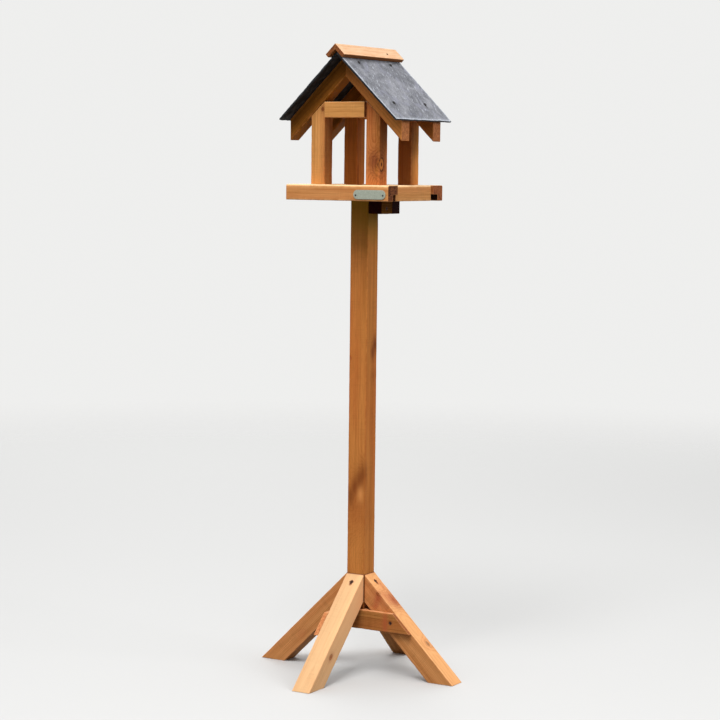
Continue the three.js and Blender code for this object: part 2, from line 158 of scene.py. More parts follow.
# An empty group with its named sockets. An input's start value tells its kind: a number, a vector of
# three or a colour of four. An output is a number, unless it is called Color.
def startGroup(name, inputs, outputs):
    group = bpy.data.node_groups.new(name, "ShaderNodeTree")
    kinds = {1: "NodeSocketFloat", 3: "NodeSocketVector", 4: "NodeSocketColor"}
    for label, start in inputs.items():
        socket = group.interface.new_socket(label, in_out="INPUT", socket_type=kinds[np.size(start)])
        socket.default_value = start
    for label in outputs:
        kind = kinds[4 if label == "Color" else 1]
        group.interface.new_socket(label, in_out="OUTPUT", socket_type=kind)
    bench = NodeBench(group)
    entry = bench.add("NodeGroupInput").outputs
    leave = bench.add("NodeGroupOutput").inputs
    return group, bench, entry, leave


# Growth rings, streaks and fibres of sawn softwood. Grain runs along the first axis of its vector.
def makeTimberGrain():
    group, bench, entry, leave = startGroup(
        "timberGrain",
        {
            "Grain": (0, 0, 0),
            "Pith": (0, 0.03, 0.02),
            "Ring Width": 0.0035,
            "Waviness": 0.012,
            "Bend": 0.0,
            "Pale": (0.6, 0.4, 0.2, 1),
            "Deep": (0.4, 0.2, 0.08, 1),
            "Red": (0.45, 0.15, 0.06, 1),
            "Ring Strength": 0.6,
            "Streak Strength": 0.5,
            "Red Share": 0.3,
            "Saw Marks": 0.3,
        },
        ["Color", "Height", "Late Wood"],
    )
    place = bench.vector("ADD", entry["Grain"], entry["Pith"])
    shifts = []
    for stretch, share in (((1.7, 9.0, 9.0), 2.0), ((11.0, 52.0, 52.0), 0.16)):  # wide and small waves
        waves = bench.noise(place, 1.0, 2.0, 0.5, stretch, output="Color")
        centred = bench.vector("SUBTRACT", waves, (0.5, 0.5, 0.5))
        shift = bench.add("ShaderNodeVectorMath", {0: centred}, operation="SCALE")
        bench.feed(shift.inputs["Scale"], bench.times(entry["Waviness"], share))
        shifts.append(shift.outputs["Vector"])
    moved = bench.vector("ADD", bench.vector("ADD", place, shifts[0]), shifts[1])
    outFromPith = bench.vector("LENGTH", bench.vector("MULTIPLY", moved, (0.0, 1.0, 1.0)))
    radius = bench.math("ADD", outFromPith, entry["Bend"])
    phase = bench.math("DIVIDE", radius, entry["Ring Width"])
    inRing = bench.math("FRACT", phase)
    ringTone = bench.add("ShaderNodeTexWhiteNoise", {"W": bench.math("FLOOR", phase)}, noise_dimensions="1D")
    rise = bench.step(inRing, 0.25, 0.9)
    fall = bench.step(inRing, 0.92, 1.0, (1.0, 0.0))
    late = bench.times(rise, fall, bench.scaled(ringTone.outputs["Value"], 0.6, 0.4))
    broad = bench.noise(place, 1.0, 2.0, 0.55, (1.6, 75.0, 75.0))
    narrow = bench.noise(place, 1.0, 2.0, 0.6, (6.0, 330.0, 330.0))
    fibre = bench.noise(place, 1.0, 1.0, 0.5, (45.0, 2300.0, 2300.0))
    broadStreak = bench.step(broad, 0.33, 0.7, (-0.6, 0.6))
    narrowStreak = bench.step(narrow, 0.3, 0.7, (-0.4, 0.4))
    streak = bench.times(bench.math("ADD", broadStreak, narrowStreak), entry["Streak Strength"])
    ringPart = bench.times(late, entry["Ring Strength"])
    depth = bench.math("ADD", ringPart, streak)
    depth = bench.math("ADD", depth, 0.25, clamp=True)
    colour = bench.blend(depth, entry["Pale"], entry["Deep"])
    redNoise = bench.noise(place, 1.0, 2.0, 0.5, (2.4, 26.0, 26.0))
    redMask = bench.times(bench.step(redNoise, 0.42, 0.72), entry["Red Share"])
    colour = bench.blend(redMask, colour, entry["Red"])
    sawPlace = bench.vector("ADD", place, shifts[1])
    sawLines = bench.noise(sawPlace, 1.0, 2.0, 0.6, (420.0, 14.0, 14.0))
    sawPatches = bench.step(bench.noise(place, 1.0, 2.0, 0.5, (22.0, 40.0, 40.0)), 0.4, 0.65)
    saw = bench.times(bench.step(sawLines, 0.4, 0.62), sawPatches, entry["Saw Marks"])
    fleck = bench.step(fibre, 0.25, 0.75, (0.88, 1.1))
    fleck = bench.math("SUBTRACT", fleck, bench.times(saw, 0.28))
    fleckColour = bench.add("ShaderNodeCombineColor", {0: fleck, 1: fleck, 2: fleck}).outputs[0]
    colour = bench.blend(1.0, colour, fleckColour, "MULTIPLY")
    height = bench.scaled(late, 0.45, bench.times(fibre, 0.35))
    height = bench.scaled(narrow, 0.4, height)
    height = bench.scaled(saw, -0.6, height)
    bench.fill(leave, {"Color": colour, "Height": height, "Late Wood": late})
    return group


# One knot: a branch cut across. Bend pushes the growth rings round it, Core covers the whole branch,
# Bark marks its dark outline and heart, Halo the warm wood round it and Swirl the arcs about it.
def makeKnot():
    group, bench, entry, leave = startGroup(
        "knot",
        {
            "Grain": (0, 0, 0),
            "Centre": (0, 0, 0),
            "Spread": (0.8, 1, 0.15),
            "Size": 0.008,
        },
        ["Bend", "Core", "Halo", "Bark", "Swirl"],
    )
    away = bench.vector("SUBTRACT", entry["Grain"], entry["Centre"])
    away = bench.vector("MULTIPLY", away, entry["Spread"])
    rough = bench.noise(entry["Grain"], 90.0, 2.0)
    distance = bench.vector("LENGTH", away)
    share = bench.math("DIVIDE", distance, entry["Size"])
    share = bench.math("ADD", share, bench.scaled(rough, 0.5, -0.25))
    squared = bench.times(share, share)
    push, halo, fade = (bench.math("EXPONENT", bench.times(squared, rate)) for rate in (-0.3, -0.45, -0.2))
    bench.feed(leave["Bend"], bench.times(push, entry["Size"], 1.5))
    bench.feed(leave["Core"], bench.step(share, 0.95, 1.2, (1.0, 0.0)))
    bench.feed(leave["Halo"], halo)
    heart = bench.step(share, 0.2, 0.5, (1.0, 0.0))
    lines = bench.times(bench.math("PINGPONG", bench.times(share, 5.0), 1.0), 0.35)
    broken = bench.noise(entry["Grain"], 55.0, 2.0, 0.6)
    outline = bench.times(bench.step(share, 0.64, 0.9), bench.step(broken, 0.35, 0.5, (0.5, 1.0)))
    bark = bench.math("MAXIMUM", outline, bench.math("MAXIMUM", heart, lines))
    bench.feed(leave["Bark"], bark)
    arcs = bench.math("PINGPONG", bench.scaled(share, 3.2, bench.times(rough, 1.5)), 1.0)
    bench.feed(leave["Swirl"], bench.times(bench.step(arcs, 0.45, 0.95), fade))
    return group


# Wear that follows a mesh mask and breaks up over the surface.
def makeWornEdge():
    group, bench, entry, leave = startGroup(
        "wornEdge",
        {
            "Place": (0, 0, 0),
            "Mask": 0.0,
            "Amount": 0.7,
            "Break Size": 0.012,
        },
        ["Wear"],
    )
    scale = bench.math("DIVIDE", 1.0, entry["Break Size"])
    patches = bench.noise(entry["Place"], scale, 3.0, 0.6)
    kept = bench.step(patches, 0.3, 0.68)
    bench.feed(leave["Wear"], bench.times(entry["Mask"], kept, entry["Amount"], clamp=True))
    return group


# Open pores and short splits of end grain, seen where a bar is cut across.
def makeEndGrain():
    group, bench, entry, leave = startGroup(
        "endGrain",
        {"Grain": (0, 0, 0), "Cut": 0.0, "Darkening": 0.6},
        ["Shade", "Height"],
    )
    across = bench.vector("MULTIPLY", entry["Grain"], (0.2, 1.0, 1.0))
    speckle = bench.noise(across, 320.0, 3.0, 0.7)
    blotch = bench.noise(across, 90.0, 2.0, 0.5)
    dark = bench.scaled(bench.step(speckle, 0.45, 0.6), 0.65, bench.step(blotch, 0.35, 0.7, (0.1, 0.45)))
    bench.feed(leave["Shade"], bench.times(dark, entry["Cut"], entry["Darkening"], clamp=True))
    bench.feed(leave["Height"], bench.times(speckle, entry["Cut"]))
    return group


# Bleach: paler patches where a surface looks up at the sky, part sun bleach and part painted top light.
# Under: where it looks at the ground, for a painted underside tone.
def makeSkyBleach():
    group, bench, entry, leave = startGroup(
        "skyBleach",
        {
            "Place": (0, 0, 0),
            "Normal": (0, 0, 1),
            "Amount": 0.5,
            "Late Wood": 0.0,
        },
        ["Bleach", "Under"],
    )
    upward = bench.add("ShaderNodeSeparateXYZ", {0: entry["Normal"]}).outputs["Z"]
    patches = bench.noise(entry["Place"], 1.0, 4.0, 0.62, (30.0, 170.0, 170.0))
    kept = bench.step(patches, 0.32, 0.62, (0.7, 1.0))
    kept = bench.times(kept, bench.scaled(entry["Late Wood"], -0.55, 1.0))
    bleachAndShading = bench.times(bench.step(upward, 0.2, 0.65), kept, entry["Amount"], clamp=True)
    bench.feed(leave["Bleach"], bleachAndShading)
    bench.feed(leave["Under"], bench.step(upward, -0.3, -0.65))
    return group


timberGrain = makeTimberGrain()
knotGroup = makeKnot()
wornEdge = makeWornEdge()
endGrain = makeEndGrain()
skyBleach = makeSkyBleach()
print("node groups made")


def startMaterial(name):
    material = bpy.data.materials.new(name)
    material.use_nodes = True
    material.node_tree.nodes.clear()
    bench = NodeBench(material.node_tree)
    shader = bench.add("ShaderNodeBsdfPrincipled")
    output = bench.add("ShaderNodeOutputMaterial")
    material.node_tree.links.new(shader.outputs[0], output.inputs["Surface"])
    return material, bench, shader


def placeGroup(bench, group, inputs):
    node = bench.add("ShaderNodeGroup", node_tree=group)
    bench.fill(node.inputs, inputs)
    return node.outputs


# The layers of a mesh: grain is a place in the piece's own axes, marks holds three masks.
def readLayers(bench):
    nodes = [bench.add("ShaderNodeAttribute", attribute_name=name) for name in ("grain", "marks")]
    grain, marks = (node.outputs["Vector"] for node in nodes)
    return grain, *bench.add("ShaderNodeSeparateXYZ", {0: marks}).outputs


def finishSurface(bench, shader, colour, roughness, height, strength, distance):
    bump = bench.add("ShaderNodeBump", {"Height": height, "Strength": strength, "Distance": distance})
    values = {"Base Color": colour, "Roughness": roughness, "Normal": bump.outputs["Normal"]}
    bench.fill(shader.inputs, values)


# A knot at (along, across, up) the bar in millimetres. Spread squeezes it along each of these.
def roundKnot(at, size, spread=(0.75, 1, 0.15), dark=0.85, warm=0.6, swirl=0.15, tint=None):
    values = {"at": at, "size": size, "spread": spread, "dark": dark, "warm": warm, "swirl": swirl}
    return values | {"tint": tone(*tint) if tint else None}


# A patch of other colour: a knot's warm halo without the branch. Some patches paint shade instead.
def tintPatch(at, size, spread, warm=0.6, swirl=0, tint=None):
    return roundKnot(at, size, spread, 0, warm, swirl, tint)


toneNames = ["pale", "deep", "red", "edge", "bleachAndShading", "under", "endTone", "endDeep"]
toneNames += ["knotDark", "knotWarm", "haloTone", "stain", "rustRim"]


# Oiled softwood. Its marks are the arris, the cut end and the stain round a screw, which also carries
# painted shade at seams, in rebates and at inner corners.
def timberMaterial(name, look):
    look = look | {label: tone(*look[label]) for label in toneNames}
    material, bench, shader = startMaterial(name)
    grain, arris, cutEnd, stain = readLayers(bench)
    knots = []
    bend = 0.0
    for knot in look["knots"]:
        values = {"Grain": grain, "Centre": tuple(np.array(knot["at"]) * mm)}
        values |= {"Spread": knot["spread"], "Size": knot["size"] * mm}
        knots.append((knot, placeGroup(bench, knotGroup, values)))
        bend = bench.math("ADD", bend, knots[-1][1]["Bend"])
    values = {"Grain": grain, "Pith": tuple(np.array(look["pith"]) * mm), "Bend": bend}
    values |= {"Pale": look["pale"], "Deep": look["deep"], "Red": look["red"]}
    values |= {"Ring Width": look["ringWidth"] * mm, "Waviness": look["waviness"] * mm}
    values |= {"Ring Strength": look["rings"], "Streak Strength": look["streaks"]}
    values |= {"Red Share": look["redShare"], "Saw Marks": look["sawMarks"]}
    wood = placeGroup(bench, timberGrain, values)
    ends = placeGroup(bench, endGrain, {"Grain": grain, "Cut": cutEnd, "Darkening": look["endDark"]})
    worn = placeGroup(bench, wornEdge, {"Place": grain, "Mask": arris, "Amount": look["edgeAmount"]})
    colour = wood["Color"]
    resin = 0.0
    for knot, parts in knots:
        halo = bench.times(parts["Halo"], knot["warm"])
        resin = bench.math("MAXIMUM", resin, halo)
        colour = bench.blend(halo, colour, knot["tint"] or look["haloTone"])
        colour = bench.blend(bench.times(parts["Swirl"], knot["swirl"]), colour, look["knotDark"])
        if knot["dark"]:
            body = bench.blend(parts["Bark"], look["knotWarm"], look["knotDark"])
            colour = bench.blend(bench.times(parts["Core"], knot["dark"]), colour, body)
    colour = bench.blend(worn["Wear"], colour, look["edge"])
    normal = bench.add("ShaderNodeNewGeometry").outputs["Normal"]
    values = {"Place": grain, "Normal": normal, "Amount": look["bleachAndShadingAmount"]}
    bleachAndShading = placeGroup(bench, skyBleach, values | {"Late Wood": wood["Late Wood"]})
    bare = bench.scaled(resin, -0.8, 1.0)  # resin round a knot holds its colour
    # Paler tops: sun bleach and painted top light.
    colour = bench.blend(bench.times(bleachAndShading["Bleach"], bare), colour, look["bleachAndShading"])
    # Downward faces take a painted underside tone: painted shade on the braces and ridge boards, painted
    # light on the left rafters.
    colour = bench.blend(bench.times(bleachAndShading["Under"], look["underAmount"]), colour, look["under"])
    # Painted shade: an olive darkening towards the bar's top end.
    if look["paintedTopShade"]:
        low, high, amount, tint = look["paintedTopShade"]
        alongBar = bench.add("ShaderNodeSeparateXYZ", {0: grain}).outputs["X"]
        patches = bench.noise(grain, 30.0, 3.0, 0.6)
        mask = bench.math("ADD", alongBar, bench.scaled(patches, 0.08, -0.04))
        colour = bench.blend(bench.step(mask, low * mm, high * mm, (0.0, amount)), colour, tone(*tint))
    colour = bench.blend(bench.times(cutEnd, look["endShare"]), colour, look["endTone"])
    colour = bench.blend(ends["Shade"], colour, look["endDeep"])
    # Rust stain round screws; the same colours paint shade at seams, in rebates and at inner corners.
    colour = bench.blend(bench.step(stain, 0.04, 0.45, (0.0, 0.75)), colour, look["rustRim"])
    colour = bench.blend(bench.step(stain, 0.4, 0.8), colour, look["stain"])
    height = bench.math("ADD", wood["Height"], bench.times(ends["Height"], 1.2))
    rough = bench.step(wood["Height"], 0.1, 0.9, (look["roughness"] - 0.08, look["roughness"] + 0.1))
    finishSurface(bench, shader, colour, rough, height, strength=0.6, distance=0.25 * mm)
    shader.inputs["Specular IOR Level"].default_value = look["gloss"]
    return material


# Mesh helpers.

def addObject(name, data):
    thing = bpy.data.objects.new(name, data)
    bpy.context.scene.collection.objects.link(thing)
    return thing


# A visible piece that takes the place of a CAD node on the root body.
def makePiece(name, points, faces, layers, material, node, sharpAngle=34):
    mesh = bpy.data.meshes.new(name)
    mesh.from_pydata(points.reshape(-1, 3).tolist(), [], faces)
    for label, values in layers.items():
        layer = mesh.attributes.new(label, "FLOAT_VECTOR", "POINT")
        layer.data.foreach_set("vector", values.astype(np.float32).ravel())
    mesh.materials.append(material)
    mesh.shade_smooth()
    mesh.set_sharp_from_angle(angle=math.radians(sharpAngle))
    mesh.validate()
    piece = addObject(name, mesh)
    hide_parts(node)
    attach(piece, "root")


# Quads between neighbouring rows of one number grid; the rows close round when asked.
def gridFaces(numbers, closed=True):
    ahead = np.roll(numbers, -1, 1) if closed else numbers[:, 1:]
    here = numbers if closed else numbers[:, :-1]
    return np.stack([here[:-1], ahead[:-1], ahead[1:], here[1:]], -1).reshape(-1, 4).tolist()


leastStep = 0.05 * mm  # rings closer than this to an end are left out
markRoom = 0.3 * mm  # kept clear of even steps beside the set round a mark


# Places along a stretch: even steps, closer at both ends, and a close set round each mark.
def stations(length, step, ends, marks, close):
    spots = np.concatenate([ends, np.arange(step, length - step / 2, step), length - ends])
    for mark in marks:
        spots = spots[abs(spots - mark) > close[-1] + markRoom]
        spots = np.concatenate([spots, mark + close, mark - close])
    spots = np.unique(np.round(spots, 7))
    return spots[(spots > leastStep) & (spots < length - leastStep)]


nearScrew = np.array([0, 1, 2, 3, 3.6, 4.05, 4.5, 5.1, 6, 7.2, 8.6]) * mm
nearArris = np.array([0.5, 1.4, 3.2]) * mm
nearEnd = np.array([1.6, 3.2, 6]) * mm
section = {
    "step": 7 * mm,
    "ringStep": 9 * mm,
    "arcPoints": 5,  # round each corner
    "middlePoints": 4,  # on a side whose point count is fixed
    "middleFrom": 6 * mm,
    "screwRow": 2 * mm,  # how near a side's line a screw has to lie to be on that side
    "arrisReach": 1.6 * mm,
    "squareCorner": 0.2,  # arris mask at a corner without radius
}


# A closed outline from corners [across, up, radius], counter-clockwise. A corner becomes the arc
# corner + radius ((1 - sin t) back + (1 - cos t) ahead) for t from 0 to a quarter turn.
# It gives the points, their outward directions and how close each is to an arris.
def barOutline(corners, screwSpots, step):
    spots = np.array([corner[:2] for corner in corners], float)
    back = np.roll(spots, 1, 0) - spots
    ahead = np.roll(spots, -1, 0) - spots
    back /= np.linalg.norm(back, axis=1)[:, None]
    ahead /= np.linalg.norm(ahead, axis=1)[:, None]
    swing = np.linspace(0, quarterTurn, section["arcPoints"])
    arcs = []
    for spot, (_, _, radius), toBack, toAhead in zip(spots, corners, back, ahead):
        arc = spot + radius * (np.outer(1 - np.sin(swing), toBack) + np.outer(1 - np.cos(swing), toAhead))
        arcs.append(arc if radius else arc[:1])
    points, closeness = [], []
    for arc, following, radius in zip(arcs, arcs[1:] + arcs[:1], [corner[2] for corner in corners]):
        side = following[0] - arc[-1]
        length = np.linalg.norm(side)
        direction = side / length
        offsets = screwSpots - arc[-1]
        level = abs(offsets @ np.array([-direction[1], direction[0]])) < section["screwRow"]
        marks = (offsets @ direction)[level]
        if step:
            along = stations(length, step, nearArris, marks, nearScrew)
        else:  # the same number of points whatever the side's length
            start, stop = section["middleFrom"], length - section["middleFrom"]
            middle = np.linspace(start, stop, section["middlePoints"])
            along = np.concatenate([nearArris, middle, length - nearArris[::-1]])
        points += [arc, arc[-1] + np.outer(along, direction)]
        nearest = np.minimum(along, length - along)
        atCorner = np.full(len(arc), 1.0 if radius else section["squareCorner"])
        closeness += [atCorner, np.exp(-nearest / section["arrisReach"])]
    points = np.vstack(points)
    tangent = np.roll(points, -1, 0) - np.roll(points, 1, 0)
    outward = np.stack([tangent[:, 1], -tangent[:, 0]], -1)
    return points, outward / np.linalg.norm(outward, axis=1)[:, None], np.concatenate(closeness)


# Rings beside each end of a stretch, and how far the first three draw in to round its edge.
endRings = {"clear": 0.4 * mm, "near": 0.25 * mm, "far": 0.9 * mm, "inset": np.array([0.9, 0.3, 0]) * mm}
squareEnd = 0.01 * mm  # how much of a bar counts as its end when the end is square
wear = {
    "hollow": 0.09 * mm,
    "hollowSize": 34 * mm,
    "ripple": 0.03 * mm,
    "rippleSize": 7 * mm,
    "dentSize": 11 * mm,
    "dentFloor": 0.2,  # noise below this leaves the arris whole
    "sawnSize": 9 * mm,
    "dent": 0.7,  # depth in millimetres, unless the bar says otherwise
    "endLift": 0.1,  # the same for the roughness of a sawn end
    "endCut": 0.8,  # how much of the sawn end's look its rim takes
}
# Painted shade: a dark band where a leg meets the post, in a rail's rebate, and at a rail's inner face near
# its ends where the rails meet.
paintedShade = {
    "seamShade": 0.85,
    "grime": 0.8,
    "grimeMargin": np.array([-0.2, 0, 0, 0.2]) * mm,
    "corner": 0.3,
    "cornerShadeFrom": 5 * mm,
    "cornerShadeTo": 8 * mm,
}
# The pit round a screw, with the ring of stain that runs down from it.
pit = {
    "facing": 0.95,  # a face this square to the screw is the one it goes into
    "holdFrom": 5.2 * mm,
    "holdTo": 8.4 * mm,
    "rim": 0.05 * mm,
    "wall": 0.45 * mm,
    "extra": 0.5 * mm,  # deeper than the screw's head lies
    "dish": 0.25 * mm,
    "dishReach": 2.2 * mm,
    "stainReach": 1.1 * mm,
    "runDown": 0.55,
    "stain": 0.8,
}
capShares = np.array([0.9, 0.72, 0.5, 0.25])  # rings of an end cap, as shares of its outline


# A timber bar: its outline is carried along a straight line, and each point of it starts and stops
# where its own line meets the two end planes. The rings between stand square to the bar, and those
# near a slanting end lean over to it by degrees. Wear only takes wood away.
def sweptBar(name, bar, material, turns=0):
    across, up = unit(bar["across"]), unit(bar["up"])
    along = np.cross(across, up)
    start = np.array(bar["start"], float)
    (lowPoint, lowNormal), (highPoint, highNormal) = bar["ends"]
    screws = bar.get("screws", [])

    def reach(flat, point, normal):
        offset = (np.array(point) - start) @ normal
        return (offset - flat[..., 0] * (across @ normal) - flat[..., 1] * (up @ normal)) / (along @ normal)

    screwPlaces = [np.array(screw["at"]) - start for screw in screws]
    screwFlat = np.array([[place @ across, place @ up] for place in screwPlaces]).reshape(-1, 2)
    screwAlong = np.array([place @ along for place in screwPlaces])
    step = bar.get("step", section["step"])
    outlines = [barOutline(corners, screwFlat, step) for corners in bar["outlines"]]
    flatAll = np.concatenate([outline[0] for outline in outlines])
    lows, highs = reach(flatAll, lowPoint, lowNormal), reach(flatAll, highPoint, highNormal)
    first, firstFull, lastFull, last = lows.min(), lows.max(), highs.min(), highs.max()
    if firstFull - first < leastStep:  # a square end
        firstFull = first + squareEnd
    if last - lastFull < leastStep:
        lastFull = last - squareEnd
    breaks = bar.get("breaks", [])
    marks = [mark - first for mark in screwAlong]
    spots = first + stations(last - first, section["ringStep"], nearEnd, marks, nearScrew)

    rings, flats, outs, arrises = [], [], [], []
    edges = [first, *breaks, last]
    for (points, outward, closeness), low, high in zip(outlines, edges[:-1], edges[1:]):
        clear, near, far = endRings["clear"], endRings["near"], endRings["far"]
        inside = spots[(spots > low + clear) & (spots < high - clear)]
        nearLow, nearHigh = [low + near, low + far], [high - far, high - near]
        levels = np.concatenate([[low], nearLow, inside, nearHigh, [high]])
        inset = np.zeros(len(levels))
        if low == first:
            inset[:3] = endRings["inset"]
        if high == last:
            inset[-3:] = endRings["inset"][::-1]
        flats.append(points[None] - outward[None] * inset[:, None, None])
        rings.append(levels[:, None] + np.zeros(len(points)))
        outs.append(np.broadcast_to(outward, flats[-1].shape))
        arrises.append(np.broadcast_to(closeness, rings[-1].shape))
    levels, flat, outward, arris = (np.concatenate(part) for part in (rings, flats, outs, arrises))

    def lay(flat):
        starts, stops = reach(flat, lowPoint, lowNormal), reach(flat, highPoint, highNormal)
        early, late = (levels - first) / (firstFull - first), (levels - lastFull) / (last - lastFull)
        placed = np.where(levels < firstFull, starts + early * (firstFull - starts), levels)
        placed = np.where(levels > lastFull, lastFull + late * (stops - lastFull), placed)
        return placed, start + placed[..., None] * along + flat[..., :1] * across + flat[..., 1:] * up

    seed = bar["seed"]
    placed, points = lay(flat)
    grain = np.concatenate([placed[..., None], flat], -1)
    hollow = wear["hollow"] * (1 + softNoise(points, wear["hollowSize"], seed))
    hollow = hollow + wear["ripple"] * (1 + softNoise(points, wear["rippleSize"], seed + 1))
    bites = np.clip(softNoise(points, wear["dentSize"], seed + 2) - wear["dentFloor"], 0, 1)
    dents = arris * bites * bar.get("dent", wear["dent"]) * mm
    placed, points = lay(flat - (hollow + dents)[..., None] * outward)
    normals = outward[..., :1] * across + outward[..., 1:] * up
    stain = np.zeros(placed.shape)
    # Painted shade along the seam, in the rebate and at the corners goes into the stain mark.
    if "seamShade" in bar:
        fromEnd = placed - reach(flat, lowPoint, lowNormal)
        stain += paintedShade["seamShade"] * np.exp(-((fromEnd / bar["seamShade"]) ** 2))
    if "grime" in bar:
        left, bottom, right, top = np.array(bar["grime"]) + paintedShade["grimeMargin"]
        sideways, upright = flat[..., 0], flat[..., 1]
        inside = (sideways > left) * (sideways < right) * (upright > bottom) * (upright < top)
        stain += paintedShade["grime"] * inside
        fromEnd = np.minimum(placed - first, last - placed)
        away = easeStep(fromEnd, paintedShade["cornerShadeFrom"], paintedShade["cornerShadeTo"])
        stain += paintedShade["corner"] * (sideways > right) * (1 - away)
    for screw in screws:
        into = unit(screw["into"])
        sideways = np.cross(into, along)
        onFace = (normals @ -into) > pit["facing"]
        offset = points - np.array(screw["at"])
        x, y = offset @ along, offset @ sideways
        square, roundAway = np.maximum(abs(x), abs(y)), np.hypot(x, y) + 1e-9
        hold = onFace * (1 - easeStep(square, pit["holdFrom"], pit["holdTo"])) * (square > 0)
        pull = (square / roundAway - 1) * hold
        points = points + pull[..., None] * (x[..., None] * along + y[..., None] * sideways)
        distance = np.where(onFace, roundAway * (1 + pull), 1.0)
        radius = screw["radius"] + pit["rim"]
        deep = (screw["sunk"] + pit["extra"]) * (1 - easeStep(distance, radius, radius + pit["wall"]))
        deep = deep + pit["dish"] * np.exp(-(((distance - radius) / pit["dishReach"]) ** 2)) * onFace
        points = points + (deep * onFace)[..., None] * into
        downhill = np.where(x * along[2] < 0, x * pit["runDown"], x)
        mark = np.exp(-((np.hypot(downhill, y) / (radius + pit["stainReach"])) ** 4)) * onFace
        stain = np.maximum(stain, mark * pit["stain"])

    # Caps shrink the end ring towards the heart of the outline and stay on the end plane.
    heart = np.array(bar.get("heart", flat[0].mean(0)))
    endLift = bar.get("endLift", wear["endLift"]) * mm
    count, width = placed.shape
    numbers = np.arange(count * width).reshape(count, width)
    faces = gridFaces(numbers)
    allPoints, allGrain = [points.reshape(-1, 3)], [grain.reshape(-1, 3)]
    allMarks = [np.stack([arris, np.zeros_like(arris), stain], -1).reshape(-1, 3)]
    allMarks[0].reshape(count, width, 3)[[0, -1], :, 1] = wear["endCut"]
    total = count * width
    for ring, (planePoint, planeNormal), flip in zip((0, count - 1), bar["ends"], (True, False)):
        capFlat = heart + capShares[:, None, None] * (flat[ring] - heart)
        capFlat = np.concatenate([capFlat.reshape(-1, 2), heart[None]])
        capPlaced = reach(capFlat, planePoint, planeNormal)
        capPoints = start + capPlaced[:, None] * along + capFlat[:, :1] * across + capFlat[:, 1:] * up
        lift = endLift * (1 + softNoise(capPoints, wear["sawnSize"], seed + 5))
        capPoints = capPoints + (lift if flip else -lift)[:, None] * along
        centre = total + len(capShares) * width
        capNumbers = np.vstack([numbers[ring], np.arange(total, centre).reshape(-1, width)])
        order = capNumbers[::-1] if flip else capNumbers
        faces += gridFaces(order)
        inner = capNumbers[-1]
        fan = [np.roll(inner, -1), inner] if flip else [inner, np.roll(inner, -1)]
        faces += np.stack([*fan, np.full(width, centre)], -1).tolist()
        allPoints.append(capPoints)
        allGrain.append(np.concatenate([capPlaced[:, None], capFlat], -1))
        capMarks = np.zeros((len(capPoints), 3))
        capMarks[:, 1] = 1
        allMarks.append(capMarks)
        total = centre + 1
    layers = {"grain": np.vstack(allGrain), "marks": np.vstack(allMarks)}
    points = turned(np.vstack(allPoints), turns)
    makePiece(name + "_timber", points, faces, layers, material, name)


# A rectangle's corners round the middle line.
def rectangle(width, depth, radius):
    x, y = width / 2, depth / 2
    return [[-x, -y, radius], [x, -y, radius], [x, y, radius], [-x, y, radius]]


# A bar square to the axes that fills a CAD node's own box: grain along the named axis.
def boxBar(node, axis, radius, seed, **more):
    low, high = (np.array(corner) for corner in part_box(node))
    middle, size = (low + high) / 2, high - low
    along, across, up = np.roll([axisX, axisY, axisZ], -"xyz".index(axis), 0)
    start = middle - along * (size @ along) / 2
    ends = [(start, -along), (start + along * (size @ along), along)]
    bar = {"start": start, "across": across, "up": up, "ends": ends, "seed": seed}
    return bar | {"outlines": [rectangle(size @ across, size @ up, radius)]} | more


log = {"near": 28, "far": 75, "halfLength": 4000}


# Every timber piece lies elsewhere in its own log: its place along the log and its way from the pith.
def logPlace(seed):
    random = np.random.default_rng(seed)
    angle = random.uniform(0, 2 * math.pi)
    away = random.uniform(log["near"], log["far"])
    along = random.uniform(-log["halfLength"], log["halfLength"])
    return (along, away * math.cos(angle), away * math.sin(angle))


plainTimber = {
    "pale": (222, 160, 98), "deep": (172, 110, 56), "red": (184, 98, 52), "edge": (208, 128, 72),
    "bleachAndShading": (236, 192, 140), "bleachAndShadingAmount": 0.75, "under": (110, 64, 28), "underAmount": 0.0,
    "endTone": (134, 74, 40), "endShare": 0.75, "endDeep": (58, 22, 12), "knotDark": (70, 30, 14),
    "knotWarm": (176, 100, 46), "haloTone": (170, 86, 42), "stain": (40, 18, 10),
    "rustRim": (132, 62, 32), "ringWidth": 3.4, "waviness": 11, "rings": 0.5, "streaks": 0.45,
    "redShare": 0.35, "sawMarks": 0.3, "edgeAmount": 0.5, "endDark": 0.8, "roughness": 0.62,
    "gloss": 0.07,
    "knots": [],
    "paintedTopShade": None,
}


# A timber in its own look. The bar's seed also picks its place in the log, unless the bar has a log number.
def timber(name, bar, look, materialName, turns=0):
    pith = logPlace(bar.get("log", bar["seed"]))
    material = timberMaterial(materialName, plainTimber | {"pith": pith} | look)
    sweptBar(name, bar, material, turns)


# A screw as its bar wants it, with its place in metres.
def screwIn(kind, at, into):
    radius, sunk = screws[kind]["radius"] * mm, screws[kind]["sunk"] * mm
    return {"at": np.array(at), "into": into, "radius": radius, "sunk": sunk}


# Sizes of the fixings in millimetres. Those with a sunk value lie that far below the surface.
screws = {
    "leg": {"radius": 4, "head": 3, "shank": 2, "length": 42, "sunk": 1.2},
    "brace": {"radius": 3.5, "head": 2.6, "shank": 1.8, "length": 30, "sunk": 0.4},
    "bracket": {"radius": 4, "head": 3, "shank": 2, "length": 45, "sunk": 0.5},
    "tray": {"radius": 3, "head": 2.4, "shank": 1.5, "length": 22, "sunk": 0.4},
    "slate": {"radius": 3.4, "head": 2, "shank": 1.7, "length": 27},
    "nail": {"radius": 2.2, "head": 0.9, "shank": 1, "length": 19},
    "pin": {"radius": 1.9, "head": 1, "shank": 0.9, "length": 9},
}
arris = 1.6 * mm  # how far most timbers are rounded at their long edges


slope = math.radians(44.5)
downSlope = np.array([math.cos(slope), 0, -math.sin(slope)])
offSlope = np.array([math.sin(slope), 0, math.cos(slope)])
lean = 1 / math.cos(slope)

# The foot: legs and braces.

